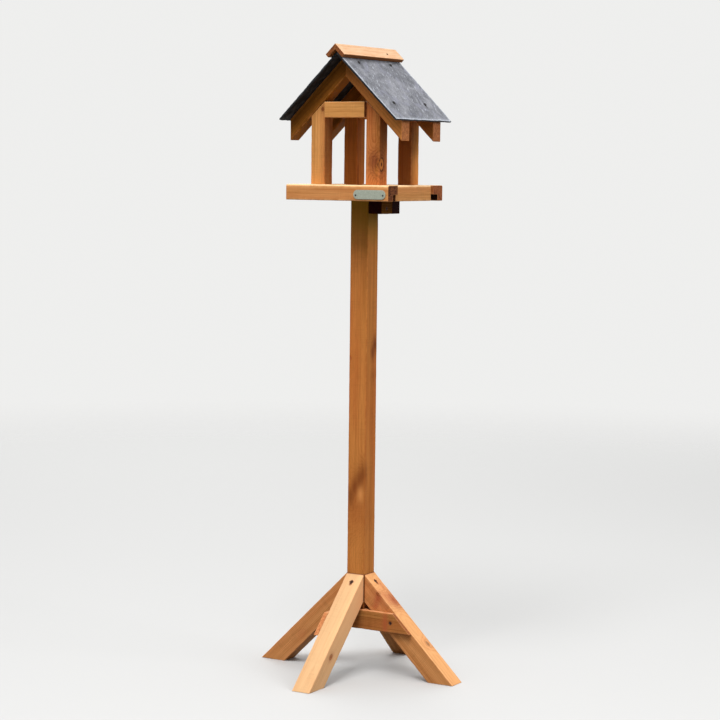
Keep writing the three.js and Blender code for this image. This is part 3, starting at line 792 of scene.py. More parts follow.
foot = {
    "legWidth": 44 * mm,
    "headHeight": 222 * mm,
    "postHalf": 22 * mm,
    "screwReach": 17.1 * mm,
    "braceSetBack": 0.8 * mm,
    "legLook": {
        "pale": (214, 150, 92), "deep": (178, 112, 60), "red": (200, 104, 60), "edge": (226, 160, 108),
        "haloTone": (178, 88, 56), "bleachAndShading": (240, 182, 126), "bleachAndShadingAmount": 0.55, "rings": 0.4,
        "redShare": 0.2, "sawMarks": 0.45,
    },
    # The front leg is paler and greyer than the others: partly its own wood, partly painted sheen on its lit
    # outer face.
    "legFrontLook": {
        "pale": (229, 186, 137), "deep": (202, 142, 94), "red": (208, 128, 88), "edge": (236, 184, 134),
        "bleachAndShading": (213, 170, 124), "bleachAndShadingAmount": 0.7, "redShare": 0.4, "sawMarks": 0.35,
        "rings": 0.35, "streaks": 0.4,
    },
    # The braces' downward faces take a darker tone: painted shade.
    "braceLook": {
        "pale": (184, 124, 66), "deep": (138, 86, 38), "red": (178, 90, 48), "edge": (216, 140, 90),
        "haloTone": (176, 92, 54), "bleachAndShading": (216, 152, 106), "endTone": (160, 96, 54),
        "endDeep": (96, 48, 24), "endShare": 0.9, "under": (90, 40, 18), "underAmount": 0.6,
        "sawMarks": 0.5,
    },
    "braceFrontLook": {"endTone": (214, 140, 88), "endDeep": (150, 80, 44)},
    "legKnots": {
        "right": [
            tintPatch((80, 12, 22), 11, (0.6, 0.7, 1), 0.95, swirl=0.15, tint=(146, 62, 36)),
            tintPatch((68, -8, 22), 9, (0.6, 0.8, 1), 0.5),
            tintPatch((36, 9, 22), 5, (0.5, 1, 1), 0.6),
            roundKnot((55, -22, 20), 4, (0.8, 0.7, 0.8), dark=0.8, warm=0.8),
            tintPatch((62, -22, 9), 3.4, (0.7, 1, 0.5), 0.7, swirl=0.2),
            tintPatch((69, -22, -4), 3.4, (0.7, 1, 0.5), 0.6, swirl=0.2),
            roundKnot((205, 8, -22), 8),
        ],
        "back": [roundKnot((160, -8, 22), 7)],
        "left": [roundKnot((190, -22, -4), 6, (0.7, 0.2, 1))],
        "front": [
            tintPatch((40, 22, 0), 9, (0.06, 1, 0.1), 0.75, tint=(250, 192, 138)),
            roundKnot((210, 22, 4), 5, (0.7, 0.2, 1), dark=0.5),
        ],
    },
    "braceKnots": {
        "right": [tintPatch((105, -5, -6), 8, (1.7, 1, 0.3), 0.85)],
        "back": [roundKnot((60, 5, 6), 6, (0.8, 0.2, 1))],
        "left": [],
        "front": [roundKnot((90, -5, -6), 5, (0.8, 0.2, 1))],
    },
}
headPoint = np.array([foot["postHalf"], 0, foot["headHeight"]])
screwDrop = foot["screwReach"] * math.tan(slope)
screwPoint = np.array([foot["postHalf"] + foot["screwReach"], 0, foot["headHeight"] - screwDrop])
legBar = {
    "start": headPoint - offSlope * foot["legWidth"] / 2,
    "across": (0, 1, 0),
    "up": offSlope,
    "ends": [((foot["postHalf"] + gap, 0, 0), -axisX), ((0, 0, 0), -axisZ)],
    "outlines": [rectangle(foot["legWidth"], foot["legWidth"], arris)],
    "screws": [screwIn("leg", screwPoint, -offSlope)],
    # Painted shade along the leg's end where it meets the post.
    "seamShade": 2.6 * mm,
}
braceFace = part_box("brace_right")[0][1]
screwLow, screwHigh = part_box("brace_screw_right")
braceScrewPoint = np.array([(screwLow[0] + screwHigh[0]) / 2, braceFace, (screwLow[2] + screwHigh[2]) / 2])
slopeCut = headPoint - np.array([foot["braceSetBack"] / math.sin(slope), 0, 0])
braceBar = boxBar("brace_right", "x", arris, 0)
braceBar["ends"][1] = (slopeCut, offSlope)
braceBar["screws"] = [screwIn("brace", braceScrewPoint, (0, 1, 0))]
for part, bar, firstSeed in (("leg", legBar, 20), ("brace", braceBar, 30)):
    for turns, side in enumerate(quarterNames):
        look = foot[part + "Look"] | (foot[part + "FrontLook"] if side == "front" else {})
        look = look | {"knots": foot[part + "Knots"][side]}
        seeded = bar | {"seed": firstSeed + turns}
        timber(f"{part}_{side}", seeded, look, f"{part}Timber_{side}", turns)
print("foot made")

# The post and the bracket under the tray.

postLook = dict(
    pale=(206, 132, 66), deep=(160, 94, 38), red=(186, 92, 42), edge=(170, 96, 44), edgeAmount=0.7,
    haloTone=(120, 62, 26), waviness=16, rings=0.26, streaks=0.38, redShare=0.4,
    # Olive darkening near the top: painted shade with a green cast.
    paintedTopShade=(815, 950, 0.8, (154, 122, 30)),
    knots=[
        tintPatch((345, 17, -22), 6, (0.32, 1, 1), 0.75),
        tintPatch((330, 7, -22), 6.5, (0.4, 1, 1), 0.75),
        tintPatch((312, -4, -22), 6, (0.4, 1, 1), 0.85),
        tintPatch((264, 0, -22), 24, (0.6, 1, 1), 0.38, tint=(150, 66, 28)),
        tintPatch((291, -15, -22), 5.5, (0.35, 1, 1), 0.68),
        tintPatch((298, 10, -22), 5.5, (0.5, 1, 1), tint=(234, 158, 90)),
        tintPatch((628, 22, 14), 5, (0.4, 1, 1), 0.95, swirl=0.15),
        tintPatch((612, 22, 4), 5, (0.4, 1, 1), 0.85, swirl=0.15),
        # A near-black band at the post's foot: painted shade among the legs.
        tintPatch((0, 0, 0), 46, (1, 0.02, 0.02), 0.95, tint=(50, 22, 12)),
        tintPatch((599, -20, -22), 2.5, (0.75, 1, 0.15), swirl=0.15, tint=(150, 56, 24)),
        roundKnot((560, -22, 5), 7, (0.7, 0.2, 1)),
        roundKnot((240, 4, 22), 8, (0.7, 1, 0.6)),
    ],
)
timber("post", boxBar("post", "z", 1 * mm, 1, log=7, dent=0.3), postLook, "postTimber")

bracketLook = {
    "pale": (132, 86, 26), "deep": (92, 54, 12), "red": (104, 52, 14), "edge": (120, 72, 24),
    "endTone": (46, 8, 6), "endShare": 1.0, "endDeep": (16, 2, 2), "rings": 0.3, "gloss": 0.03,
}
bracketFace, bracketScrewHeight = 56.3, 1028.7  # in millimetres
bracketScrews = {
    "bracket_block": screwIn("bracket", np.array([bracketFace, 0, bracketScrewHeight]) * mm, (-1, 0, 0)),
    "bracket_batten": screwIn("bracket", np.array([0, bracketFace, bracketScrewHeight]) * mm, (0, -1, 0)),
}
for node, axis, seed in (("bracket_block", "y", 3), ("bracket_batten", "x", 4)):
    bar = boxBar(node, axis, arris, seed, screws=[bracketScrews[node]])
    timber(node, bar, bracketLook, node + "Timber")
print("post and bracket made")

# The tray: rails and floor.

rail = {
    "width": 42 * mm,
    "height": 34 * mm,
    "lip": 22 * mm,
    "rebate": 14 * mm,
    "topArris": 4 * mm,
    "heart": (15 * mm, 22 * mm),
    "grimeFrom": 2 * mm,
    "grimeInset": 3 * mm,
    # The top is painted near white: sun bleach with painted top light.
    "look": {
        "redShare": 0.4, "rings": 0.4, "edge": (240, 182, 124), "edgeAmount": 0.7,
        "bleachAndShading": (252, 216, 166), "bleachAndShadingAmount": 0.95, "endTone": (124, 66, 36), "endShare": 0.9,
        "endDeep": (40, 14, 8), "endDark": 1.0,
    },
    "backEnds": {"endTone": (172, 98, 58), "endDeep": (70, 28, 16), "endDark": 0.8},
}
railOutline = [
    [0, rail["height"], rail["topArris"]],
    [0, 0, arris],
    [rail["lip"], 0, arris],
    [rail["lip"], rail["rebate"], 0],
    [rail["width"], rail["rebate"], arris],
    [rail["width"], rail["height"], arris],
]
railSides = [("front", (0, 1, 0)), ("right", (-1, 0, 0)), ("back", (0, -1, 0)), ("left", (1, 0, 0))]
for seed, (side, across) in enumerate(railSides, 41):
    low, high = (np.array(corner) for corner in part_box(f"tray_rail_{side}"))
    along = np.cross(across, (0, 0, 1))
    outside = np.where(np.array(across) > 0, low, high)
    start = np.array([outside[0], outside[1], low[2]])
    start = np.where(along > 0, low, np.where(along < 0, high, start))
    length = abs((high - low) @ along)
    bar = {"start": start, "across": across, "up": (0, 0, 1), "seed": seed, "outlines": [railOutline]}
    bar |= {"ends": [(start, -along), (start + along * length, along)], "heart": rail["heart"]}
    # Painted shade in the rebate and on the inner face near the ends.
    bar["grime"] = (rail["lip"], rail["grimeFrom"], rail["width"] - rail["grimeInset"], rail["rebate"])
    look = rail["look"] | (rail["backEnds"] if side == "back" else {})
    timber(f"tray_rail_{side}", bar, look, f"railTimber_{side}")

# The floor's top and the places of its screws are in millimetres.
trayFloor = {
    "top": 1059.7,
    "screws": {"post": (0, 0), "block": (39.3, 0), "batten": (0, 39.3)},
    "look": {"pale": (200, 140, 84), "deep": (150, 95, 50), "waviness": 30, "ringWidth": 5},
}
floorScrews = {}
for label, spot in trayFloor["screws"].items():
    floorScrews[label] = screwIn("tray", np.array([*spot, trayFloor["top"]]) * mm, (0, 0, -1))
floorBar = boxBar("tray_floor", "x", 0.8 * mm, 45, screws=[*floorScrews.values()], dent=0.4)
timber("tray_floor", floorBar, trayFloor["look"], "floorTimber")
print("tray made")

# The house: posts, lintels, rafters and ridge boards.

house = {
    "postWidth": 34 * mm,
    "outer": 86 * mm,
    "notchAcross": 80.2 * mm,
    "notchBack": 77.7 * mm,
    "notchTop": 1080.3 * mm,
    "rafterUnderApex": 1310.93 * mm,
    "rafterTopApex": 1358.6 * mm,
    "rafterReach": 139.3 * mm,
    "rafterMiddle": 69 * mm,
    "ridgeGap": 0.02 * mm,
    "footHeart": -2 * mm,
    "look": {"pale": (224, 162, 94), "deep": (176, 114, 56), "red": (190, 108, 56), "rings": 0.36},
    "rafterLook": {
        "pale": (178, 110, 50), "deep": (126, 70, 26), "red": (150, 76, 34), "endTone": (200, 128, 80),
        "endDeep": (96, 44, 26), "endDark": 0.6, "rings": 0.3,
    },
    # The left rafters are darker; their undersides take a paler tone, which is painted light.
    "leftRafterLook": {
        "pale": (152, 94, 30), "deep": (102, 57, 12), "red": (126, 65, 18), "under": (146, 95, 18),
        "underAmount": 0.85,
    },
    # The front right rafter is paler than the others, painted light where the slate's overhang shades its
    # front face; its patch at the apex end is darker.
    "frontRightRafterLitLook": {
        "pale": (237, 154, 80), "deep": (169, 99, 44), "red": (201, 108, 56),
        "knots": [
            tintPatch((10, -17, 0), 26, (0.8, 1, 1), 0.85, tint=(150, 92, 36)),
        ],
    },
    "lintelRings": 0.22,
}


# A post of the house on the right side; its foot is notched over both rails.
def housePostBar(node, towardsBack, seed):
    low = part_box(node)[0]
    middle = house["outer"] - house["postWidth"] / 2
    half = house["postWidth"] / 2
    full = rectangle(house["postWidth"], house["postWidth"], arris)
    right = house["notchAcross"] - middle
    far = house["notchBack"] - middle
    lowY, highY = (-half, far) if towardsBack > 0 else (-far, half)
    notched = [[x, y, arris] for x, y in ((-half, lowY), (right, lowY), (right, highY), (-half, highY))]
    start = np.array([middle, middle * towardsBack, low[2]])
    roofPoint = np.array([0, 0, house["rafterUnderApex"] - gap * lean])
    ends = [(start, -axisZ), (roofPoint, offSlope)]
    bar = {"start": start, "across": (1, 0, 0), "up": (0, 1, 0), "ends": ends, "seed": seed}
    bar |= {"outlines": [notched, full], "breaks": [house["notchTop"] - low[2]], "step": 0}
    return bar | {"heart": (house["footHeart"], house["footHeart"] * towardsBack)}


def rafterBar(middleY, seed):
    apex = np.array([0, middleY, house["rafterTopApex"]])
    start = apex - offSlope * house["postWidth"] / 2
    ends = [((house["ridgeGap"], 0, 0), -axisX)]
    ends.append(((house["rafterReach"], 0, 0), axisX))
    bar = {"start": start, "across": (0, 1, 0), "up": offSlope, "ends": ends, "seed": seed, "endLift": 0.02}
    return bar | {"outlines": [rectangle(house["postWidth"], house["postWidth"], arris)]}


postLooks = {
    "front_right": {
        "pale": (206, 130, 72), "deep": (150, 82, 36), "red": (176, 84, 40), "haloTone": (122, 62, 36),
        "knotWarm": (206, 128, 60), "redShare": 0.6, "rings": 0.45, "waviness": 20,
        "knots": [
            tintPatch((70, 4, -17), 9, (0.6, 1, 0.3), 0.75, swirl=0.12),
            tintPatch((53, 11, -17), 3.5, (0.5, 1, 1), swirl=0.15, tint=(214, 136, 60)),
            roundKnot((64, 17, -7.5), 9.5, (0.64, 0.9, 1), dark=0.95, swirl=0.65),
            tintPatch((142, 17, 0), 12, (0.3, 2, 0.5), 0.7, tint=(104, 66, 8)),
        ],
    },
    "back_right": {
        "pale": (238, 164, 86), "deep": (178, 110, 50), "haloTone": (122, 60, 24),
        "knots": [
            roundKnot((120, 4, 17), 5),
            tintPatch((100, 0, -17), 6, (0.03, 0.1, 1), 0.8),
        ],
    },
    "front_left": {
        "haloTone": (118, 56, 22),
        "knots": [
            roundKnot((182, -11.8, 17), 3.2, (0.8, 1, 0.3)),
            tintPatch((95, -27, -3), 9, (0.1, 1, 0.4), 0.95, swirl=0.1),
        ],
    },
    "back_left": {"pale": (204, 130, 60), "deep": (146, 84, 30), "knots": []},
}
# The left side is the right one turned by half a turn, which swaps front and back.
roofSides = [("right", 0, ("front", "back")), ("left", 2, ("back", "front"))]
for side, turns, ends in roofSides:
    for toBack, model, where in zip((-1, 1), ("front", "back"), ends):
        seed = 50 + turns + toBack
        post = housePostBar(f"house_post_{model}_right", toBack, seed)
        corner = f"{where}_{side}"
        look = house["look"] | postLooks[corner]
        timber(f"house_post_{corner}", post, look, f"housePostTimber_{corner}", turns)
        tones = house["leftRafterLook"] if side == "left" else {}
        if corner == "front_right":
            tones = house["frontRightRafterLitLook"]
        look = house["rafterLook"] | tones
        rafter = rafterBar(house["rafterMiddle"] * toBack, seed + 10)
        timber(f"rafter_{corner}", rafter, look, f"rafterTimber_{corner}", turns)

for where, seed in (("front", 71), ("back", 72)):
    look = house["look"] | {"rings": house["lintelRings"]}
    bar = boxBar(f"lintel_{where}", "x", arris, seed)
    timber(f"lintel_{where}", bar, look, f"lintelTimber_{where}")

ridge = {
    "thick": 9.4 * mm,
    "width": 33.6,  # this one and the ends in millimetres
    "topApex": 1379.63 * mm,
    "arris": 1.1 * mm,
    "ends": {"right": (-131, 125), "left": (-125, 131)},
    "nailShare": 0.6,
    "nailBack": 65 * mm,
    # Its downward faces take the darker underside tone, which is painted shade; its top is paler, sun bleach
    # with painted top light.
    "look": {
        "pale": (196, 132, 80), "deep": (140, 84, 42), "red": (170, 92, 48), "edge": (206, 148, 104),
        "bleachAndShading": (220, 184, 148), "bleachAndShadingAmount": 0.9, "underAmount": 0.7, "endTone": (140, 82, 46),
        "endShare": 0.85,
    },
}
apex = np.array([0, 0, ridge["topApex"]])
outerLow = apex + downSlope * (ridge["width"] * mm)
innerLow = outerLow - offSlope * ridge["thick"]
innerTop = np.array([gap / 2, 0, ridge["topApex"] - ridge["thick"] * lean - gap / 2 * math.tan(slope)])
outerTop = np.array([gap / 2, 0, ridge["topApex"] - gap / 2 * math.tan(slope)])
ridgeSection = [[point[2], point[0], ridge["arris"]] for point in (outerTop, outerLow, innerLow, innerTop)]
for side, turns, _ in roofSides:
    front, back = ((0, y * mm, 0) for y in ridge["ends"][side])
    bar = {"start": front, "across": (0, 0, 1), "up": (1, 0, 0), "seed": 80 + turns}
    bar |= {"outlines": [ridgeSection], "step": 5 * mm}
    bar["ends"] = [(front, -axisY), (back, axisY)]
    timber(f"ridge_board_{side}", bar, ridge["look"], f"ridgeTimber_{side}", turns)
print("house made")

# The slates.

slate = {
    "topApex": 1366.03 * mm,
    "top": 6.32 * mm,
    "eave": 208.6 * mm,
    "front": -129 * mm,
    "skew": 5 * mm,
    "back": 120.5 * mm,
    "thick": 5 * mm,
    "relief": 0.5 * mm,
    "gloss": 0.2,
    "cleft": math.radians(32),
    "screws": [(113, -75), (25.565, -75), (113, 61.5), (25.565, 61.5)],
    "grid": (92, 108),
    "wave": 0.8,  # this and the next three in millimetres
    "nick": 0.6,
    "chip": 1.7,
    "chipLeast": 0.7,
    "waveSize": 30 * mm,
    "nickSize": 11 * mm,
    "chipSize": 6 * mm,
    "chipBias": 0.15,
    "lane": (200 * mm, 240 * mm),  # how far the noise of the edges runs down and along
    "span": (200 * mm, 245 * mm),  # about the plate's own size
    "reliefs": [(0.55, 62 * mm), (0.35, 21 * mm), (0.18, 8 * mm)],  # share and size of each noise
    "leaves": 4,  # steps per unit of height
    "leafEdge": (0.35, 0.65),
    "leafDepth": 0.6,
    "pitSize": 3.5 * mm,
    "lowerSize": 25 * mm,
    "pits": 0.05 * mm,
    "shoulderChip": 0.15,  # share of the chips' depth that this loop takes
    "lowerChip": 0.3,
    "bellyInset": 0.2 * mm,
    "lowerInset": 0.6 * mm,
    "lowerRelief": 0.1 * mm,
    "shoulder": -1.1 * mm,
    "belly": -3.6 * mm,
    "edgeReach": 2.2 * mm,
    "stainReach": 4.2 * mm,
    "stainRun": 0.45,
    "lowStain": 0.85,
    "highStain": 0.35,
    "lowRow": 60,  # screws further down than this are in the low row
    "grey": tone(140, 141, 147),
    "dark": tone(80, 82, 88),
    "lilac": tone(128, 129, 142),
    "fleck": tone(180, 184, 192),
    "fresh": tone(204, 211, 221),
    "darkRimAndShade": tone(14, 13, 13),
    "rust": tone(40, 34, 32),
}


def slateMaterial(name, shift):
    material, bench, shader = startMaterial(name)
    grain, edge, rim, stain = readLayers(bench)
    place = bench.add("ShaderNodeMapping", {"Vector": grain, "Location": shift}).outputs[0]
    tilt = {"Vector": place, "Rotation": (0, 0, slate["cleft"])}
    slanted = bench.add("ShaderNodeMapping", tilt).outputs[0]
    cloud = bench.noise(place, 18.0, 3.0, 0.6, distortion=0.8)
    patch = bench.noise(place, 60.0, 4.0, 0.62, distortion=0.5)
    stroke = bench.noise(slanted, 1.0, 3.0, 0.6, (26, 170, 60), 0.3)
    speck = bench.noise(place, 420.0, 4.0, 0.7)
    chips = bench.noise(slanted, 75.0, 3.0, 0.55, (1, 2.5, 6))
    mottle = bench.scaled(stroke, 0.4, bench.times(patch, 0.6))
    shade = bench.step(mottle, 0.34, 0.66, (0.05, 0.65))
    shade = bench.math("ADD", shade, bench.step(cloud, 0.35, 0.68, (0.0, 0.45)))
    shade = bench.math("ADD", shade, bench.step(speck, 0.35, 0.68, (-0.3, 0.25)), clamp=True)
    colour = bench.blend(shade, slate["dark"], slate["grey"])
    lilacNoise = bench.noise(place, 33.0, 2.0, 0.5, distortion=0.4)
    colour = bench.blend(bench.step(lilacNoise, 0.52, 0.68, (0.0, 0.55)), colour, slate["lilac"])
    colour = bench.blend(bench.step(chips, 0.6, 0.7, (0.0, 0.6)), colour, slate["fleck"])
    worn = placeGroup(bench, wornEdge, {"Place": place, "Mask": edge, "Amount": 1.0, "Break Size": 5 * mm})
    chipped = bench.math("MAXIMUM", worn["Wear"], bench.step(edge, 0.35, 0.95, (0.0, 0.75)))
    colour = bench.blend(chipped, colour, slate["fresh"])
    layers = bench.noise(place, 1.0, 2.0, 0.6, (60, 60, 1500))
    # The rim and the whole underside go near black: the slate's own dark edge with painted shade.
    rimShade = bench.times(rim, bench.step(layers, 0.3, 0.6, (0.8, 1.0)))
    colour = bench.blend(rimShade, colour, slate["darkRimAndShade"])
    colour = bench.blend(stain, colour, slate["rust"])
    height = bench.scaled(mottle, 0.6, bench.times(speck, 0.35))
    rough = bench.step(mottle, 0.2, 0.8, (0.55, 0.78))
    finishSurface(bench, shader, colour, rough, height, strength=0.7, distance=0.5 * mm)
    shader.inputs["Specular IOR Level"].default_value = slate["gloss"]
    return material


# A riven plate on a grid of shares down the slope and along the ridge: straight lines between two wavy
# edges, lowered by stepped noise so that thin leaves seem to have come away. Three loops close its rim.
def rivenSlate(name, seed, turns):
    down, along = np.meshgrid(*(np.linspace(0, 1, count) for count in slate["grid"]), indexing="ij")
    edgeRoom = {}
    for label, number in (("top", 1), ("eave", 2), ("front", 3), ("back", 4)):
        lane = np.stack([down * slate["lane"][0] + number, along * slate["lane"][1], 0 * along], -1)
        wave = 0.5 * (1 + softNoise(lane, slate["waveSize"], seed + number)) * slate["wave"] * mm
        nicks = np.clip(softNoise(lane, slate["nickSize"], seed + 7 + number), 0, 1)
        wave = wave + nicks * slate["nick"] * mm
        chips = softNoise(lane, slate["chipSize"], seed + 17 + number) + slate["chipBias"]
        chip = np.clip(chips, 0, 1) * slate["chip"] * mm
        chip = chip + slate["chipLeast"] * mm
        edgeRoom[label] = (wave, chip)

    def plate(chipShare, inset):
        room = {label: wave + chip * chipShare + inset for label, (wave, chip) in edgeRoom.items()}
        fromTop = slate["top"] + room["top"]
        x = fromTop + (slate["eave"] - room["eave"] - fromTop) * down
        front = slate["front"] + slate["skew"] * down + room["front"]
        y = front + (slate["back"] - room["back"] - front) * along
        return np.stack([x, y, np.zeros_like(x)], -1)

    upper = plate(1, 0)
    relief = 0
    for number, (height, size) in enumerate(slate["reliefs"]):
        relief = relief + height * softNoise(upper, size, seed + number)
    steps = relief * slate["leaves"]
    steps = (np.floor(steps) + easeStep(steps - np.floor(steps), *slate["leafEdge"])) / slate["leaves"]
    leaves = slate["relief"] * (slate["leafDepth"] * np.clip(steps, -1, 1) - slate["leafDepth"])
    upper[..., 2] = leaves - slate["pits"] * (1 + softNoise(upper, slate["pitSize"], seed + 3))
    lower = plate(slate["lowerChip"], slate["lowerInset"])
    unevenness = softNoise(lower, slate["lowerSize"], seed + 4)
    lower[..., 2] = slate["lowerRelief"] * (1 + unevenness) - slate["thick"]
    shoulder, belly = plate(slate["shoulderChip"], 0), plate(0, slate["bellyInset"])
    shoulder[..., 2], belly[..., 2] = slate["shoulder"], slate["belly"]

    def loop(grid):
        return np.concatenate([grid[0, :-1], grid[:-1, -1], grid[-1, :0:-1], grid[:0:-1, 0]])

    rows, columns = down.shape
    upperNumbers = np.arange(rows * columns).reshape(rows, columns)
    lowerNumbers = upperNumbers + rows * columns
    loops = [loop(upperNumbers)]
    edgeLoops = [loop(shoulder), loop(belly)]
    base = 2 * rows * columns
    size = len(loops[0])
    loops += [base + np.arange(size), base + size + np.arange(size), loop(lowerNumbers)]
    faces = gridFaces(upperNumbers[:, ::-1], closed=False) + gridFaces(lowerNumbers, closed=False)
    faces += gridFaces(np.array(loops))
    local = np.vstack([upper.reshape(-1, 3), lower.reshape(-1, 3), *edgeLoops])
    points = np.array([0, 0, slate["topApex"]]) + local[:, :1] * downSlope
    points = points + local[:, 1:2] * axisY + local[:, 2:] * offSlope
    spans = [share * size for part, size in zip((down, along), slate["span"]) for share in (part, 1 - part)]
    edge = np.exp(-np.minimum.reduce(spans) / slate["edgeReach"])
    stain = np.zeros(down.shape)
    for x, y in slate["screws"]:
        offsetX, offsetY = upper[..., 0] - x * lean * mm, upper[..., 1] - y * mm
        offsetX = np.where(offsetX > 0, offsetX * slate["stainRun"], offsetX)
        share = slate["lowStain"] if x > slate["lowRow"] else slate["highStain"]
        spot = np.exp(-((np.hypot(offsetX, offsetY) / slate["stainReach"]) ** 4))
        stain = np.maximum(stain, share * spot)
    flat = np.zeros(down.shape)
    upperMarks = np.stack([edge, flat, stain], -1).reshape(-1, 3)
    # The underside and the edge loops count as rim, which the material paints near black as shade.
    lowerMarks = np.stack([flat, flat + 1, flat], -1).reshape(-1, 3)
    shoulderMarks = np.tile([0.2, 0.95, 0], (size, 1))
    bellyMarks = np.tile([0, 1.0, 0], (size, 1))
    layers = {"grain": local, "marks": np.vstack([upperMarks, lowerMarks, shoulderMarks, bellyMarks])}
    material = slateMaterial(name + "Stone", (seed * 0.7, seed * 1.3, 0))
    makePiece(name + "_stone", turned(points, turns), faces, layers, material, name, 40)


rivenSlate("slate_right", 5, 0)
rivenSlate("slate_left", 12, 2)
print("slates made")

# The fixings.

def metalMaterial(name, look):
    material, bench, shader = startMaterial(name)
    place = bench.add("ShaderNodeTexCoord").outputs["Object"]
    spots = bench.noise(place, look["scale"], 3.0, 0.6)
    fine = bench.noise(place, look["scale"] * 6, 2.0, 0.6)
    colour = bench.blend(bench.step(spots, 0.35, 0.68), look["bright"], look["dull"])
    roughness = bench.step(spots, 0.3, 0.7, look["roughness"])
    finishSurface(bench, shader, colour, roughness, fine, strength=0.4, distance=0.1 * mm)
    bench.feed(shader.inputs["Metallic"], look["metallic"])
    return material


steelLook = {"scale": 700.0, "roughness": (0.5, 0.8), "metallic": 0.5}
darkSteel = metalMaterial("darkSteel", steelLook | {"bright": tone(62, 60, 60), "dull": tone(30, 26, 25)})
steel = metalMaterial("agedSteel", steelLook | {"bright": tone(96, 68, 50), "dull": tone(58, 30, 18)})
cross = {"halfWidth": 0.1, "fadeWidth": 0.2, "arm": 0.48, "armEnd": 0.62, "depth": 0.45, "domedShare": 0.6}
headRings = np.concatenate([np.linspace(0.08, 0.9, 11), [0.97, 1.0]])  # shares of a head's radius
dome = {"rim": 0.45, "rise": 0.55, "reach": 0.96}  # shares of a domed head
turnery = {"around": 48, "rimDrop": 0.12 * mm, "tip": 0.05 * mm}
elsewhere = (0.31, 0.2, 0.93)  # a direction that no fixing points in


# A fixing is a profile of radius and height turned about its own axis. A cross is pressed into the head:
# each arm is a strip that fades out at its sides and end.
def turnedFixing(name, kind, at, into, turns, material, crossed=True):
    size = {key: value * mm for key, value in screws[kind].items()}
    radius, head, shank, length = size["radius"], size["head"], size["shank"], size["length"]
    angle = np.linspace(0, 2 * math.pi, turnery["around"], endpoint=False)
    point = (turnery["tip"], -length)
    if "sunk" in size:  # a flat head whose rim lies a little lower
        top = np.full(len(headRings), -size["sunk"])
        top[-1] -= turnery["rimDrop"]
        below = [(shank, -size["sunk"] - head), (shank, -length + shank), point]
    else:
        curve = np.sqrt(np.clip(1 - (headRings * dome["reach"]) ** 2, 0, 1))
        top = gap + head * (dome["rim"] + dome["rise"] * curve)
        below = [(radius, gap), (shank, gap), (shank, -length + shank), point]
    reach = np.concatenate([headRings * radius, [pair[0] for pair in below]])
    height = np.concatenate([top, [pair[1] for pair in below]])
    x, y = reach[:, None] * np.cos(angle), reach[:, None] * np.sin(angle)
    height = height[:, None] + 0 * x
    middle = -size["sunk"] if "sunk" in size else gap + head
    if crossed:

        def strip(out, aside):
            beside = easeStep(abs(aside), cross["halfWidth"] * radius, cross["fadeWidth"] * radius)
            beyond = easeStep(abs(out), cross["arm"] * radius, cross["armEnd"] * radius)
            return (1 - beside) * (1 - beyond)

        onTop = np.arange(len(reach))[:, None] < len(headRings)
        press = cross["depth"] * radius * (1 if "sunk" in size else cross["domedShare"])
        height = height - press * np.maximum(strip(x, y), strip(y, x)) * onTop
        middle -= press
    into = unit(into)
    side = unit(np.cross(into, elsewhere))
    other = np.cross(side, into)
    shape = np.array(at) - height[..., None] * into + x[..., None] * side + y[..., None] * other
    ends = np.array([np.array(at) - middle * into, np.array(at) + length * into])
    numbers = np.arange(x.size).reshape(x.shape)
    faces = gridFaces(numbers[::-1])
    centre = np.full(len(angle), x.size)
    faces += np.stack([numbers[0], np.roll(numbers[0], -1), centre], -1).tolist()
    faces += np.stack([np.roll(numbers[-1], -1), numbers[-1], centre + 1], -1).tolist()
    points = turned(np.vstack([shape.reshape(-1, 3), ends]), turns)
    makePiece(name + "_metal", points, faces, {}, material, name, 50)


for turns, side in enumerate(quarterNames):
    turnedFixing(f"leg_screw_{side}", "leg", screwPoint, -offSlope, turns, steel)
    turnedFixing(f"brace_screw_{side}", "brace", braceScrewPoint, (0, 1, 0), turns, steel)
for node, cut in bracketScrews.items():
    screwName = node.replace("bracket_", "bracket_screw_")
    turnedFixing(screwName, "bracket", cut["at"], cut["into"], 0, steel)
for label, cut in floorScrews.items():
    turnedFixing(f"tray_screw_{label}", "tray", cut["at"], cut["into"], 0, steel)
for side, turns, ends in roofSides:
    labels = [f"{where}_{side}_{level}" for where in ends for level in ("low", "high")]
    for (x, y), label in zip(slate["screws"], labels):
        at = np.array([x * mm, y * mm, slate["topApex"] - x * mm * math.tan(slope)])
        turnedFixing(f"slate_screw_{label}", "slate", at, -offSlope, turns, darkSteel)
    nailX = ridge["width"] * ridge["nailShare"] * math.cos(slope) * mm
    at = np.array([nailX, ridge["nailBack"], ridge["topApex"] - nailX * math.tan(slope)])
    turnedFixing(f"ridge_nail_{side}", "nail", at, -offSlope, turns, steel, crossed=False)
print("fixings made")

# The bare metal badge on the front rail.

badge = {
    "middle": (82.5, -120.3, 1060),
    "length": 79,
    "height": 20,
    "thick": 1.2,
    "pinSpacing": 67,
    "pinDrop": 1.5,
    "inset": np.array([0, 0, 0.15, 0.5, 1.2, 2.5, 5, 8, 9.9]),  # of each ring, from the rim inwards
    "rise": np.array([0, 0.7, 1.0, 1.13, 1.17, 1.2, 1.2, 1.2, 1.2]),
    "capPoints": 25,
    "sidePoints": 29,
    "look": {"scale": 520.0, "roughness": (0.38, 0.52), "metallic": 0.4},
    "bright": tone(172, 178, 163),
    "dull": tone(148, 154, 139),
}


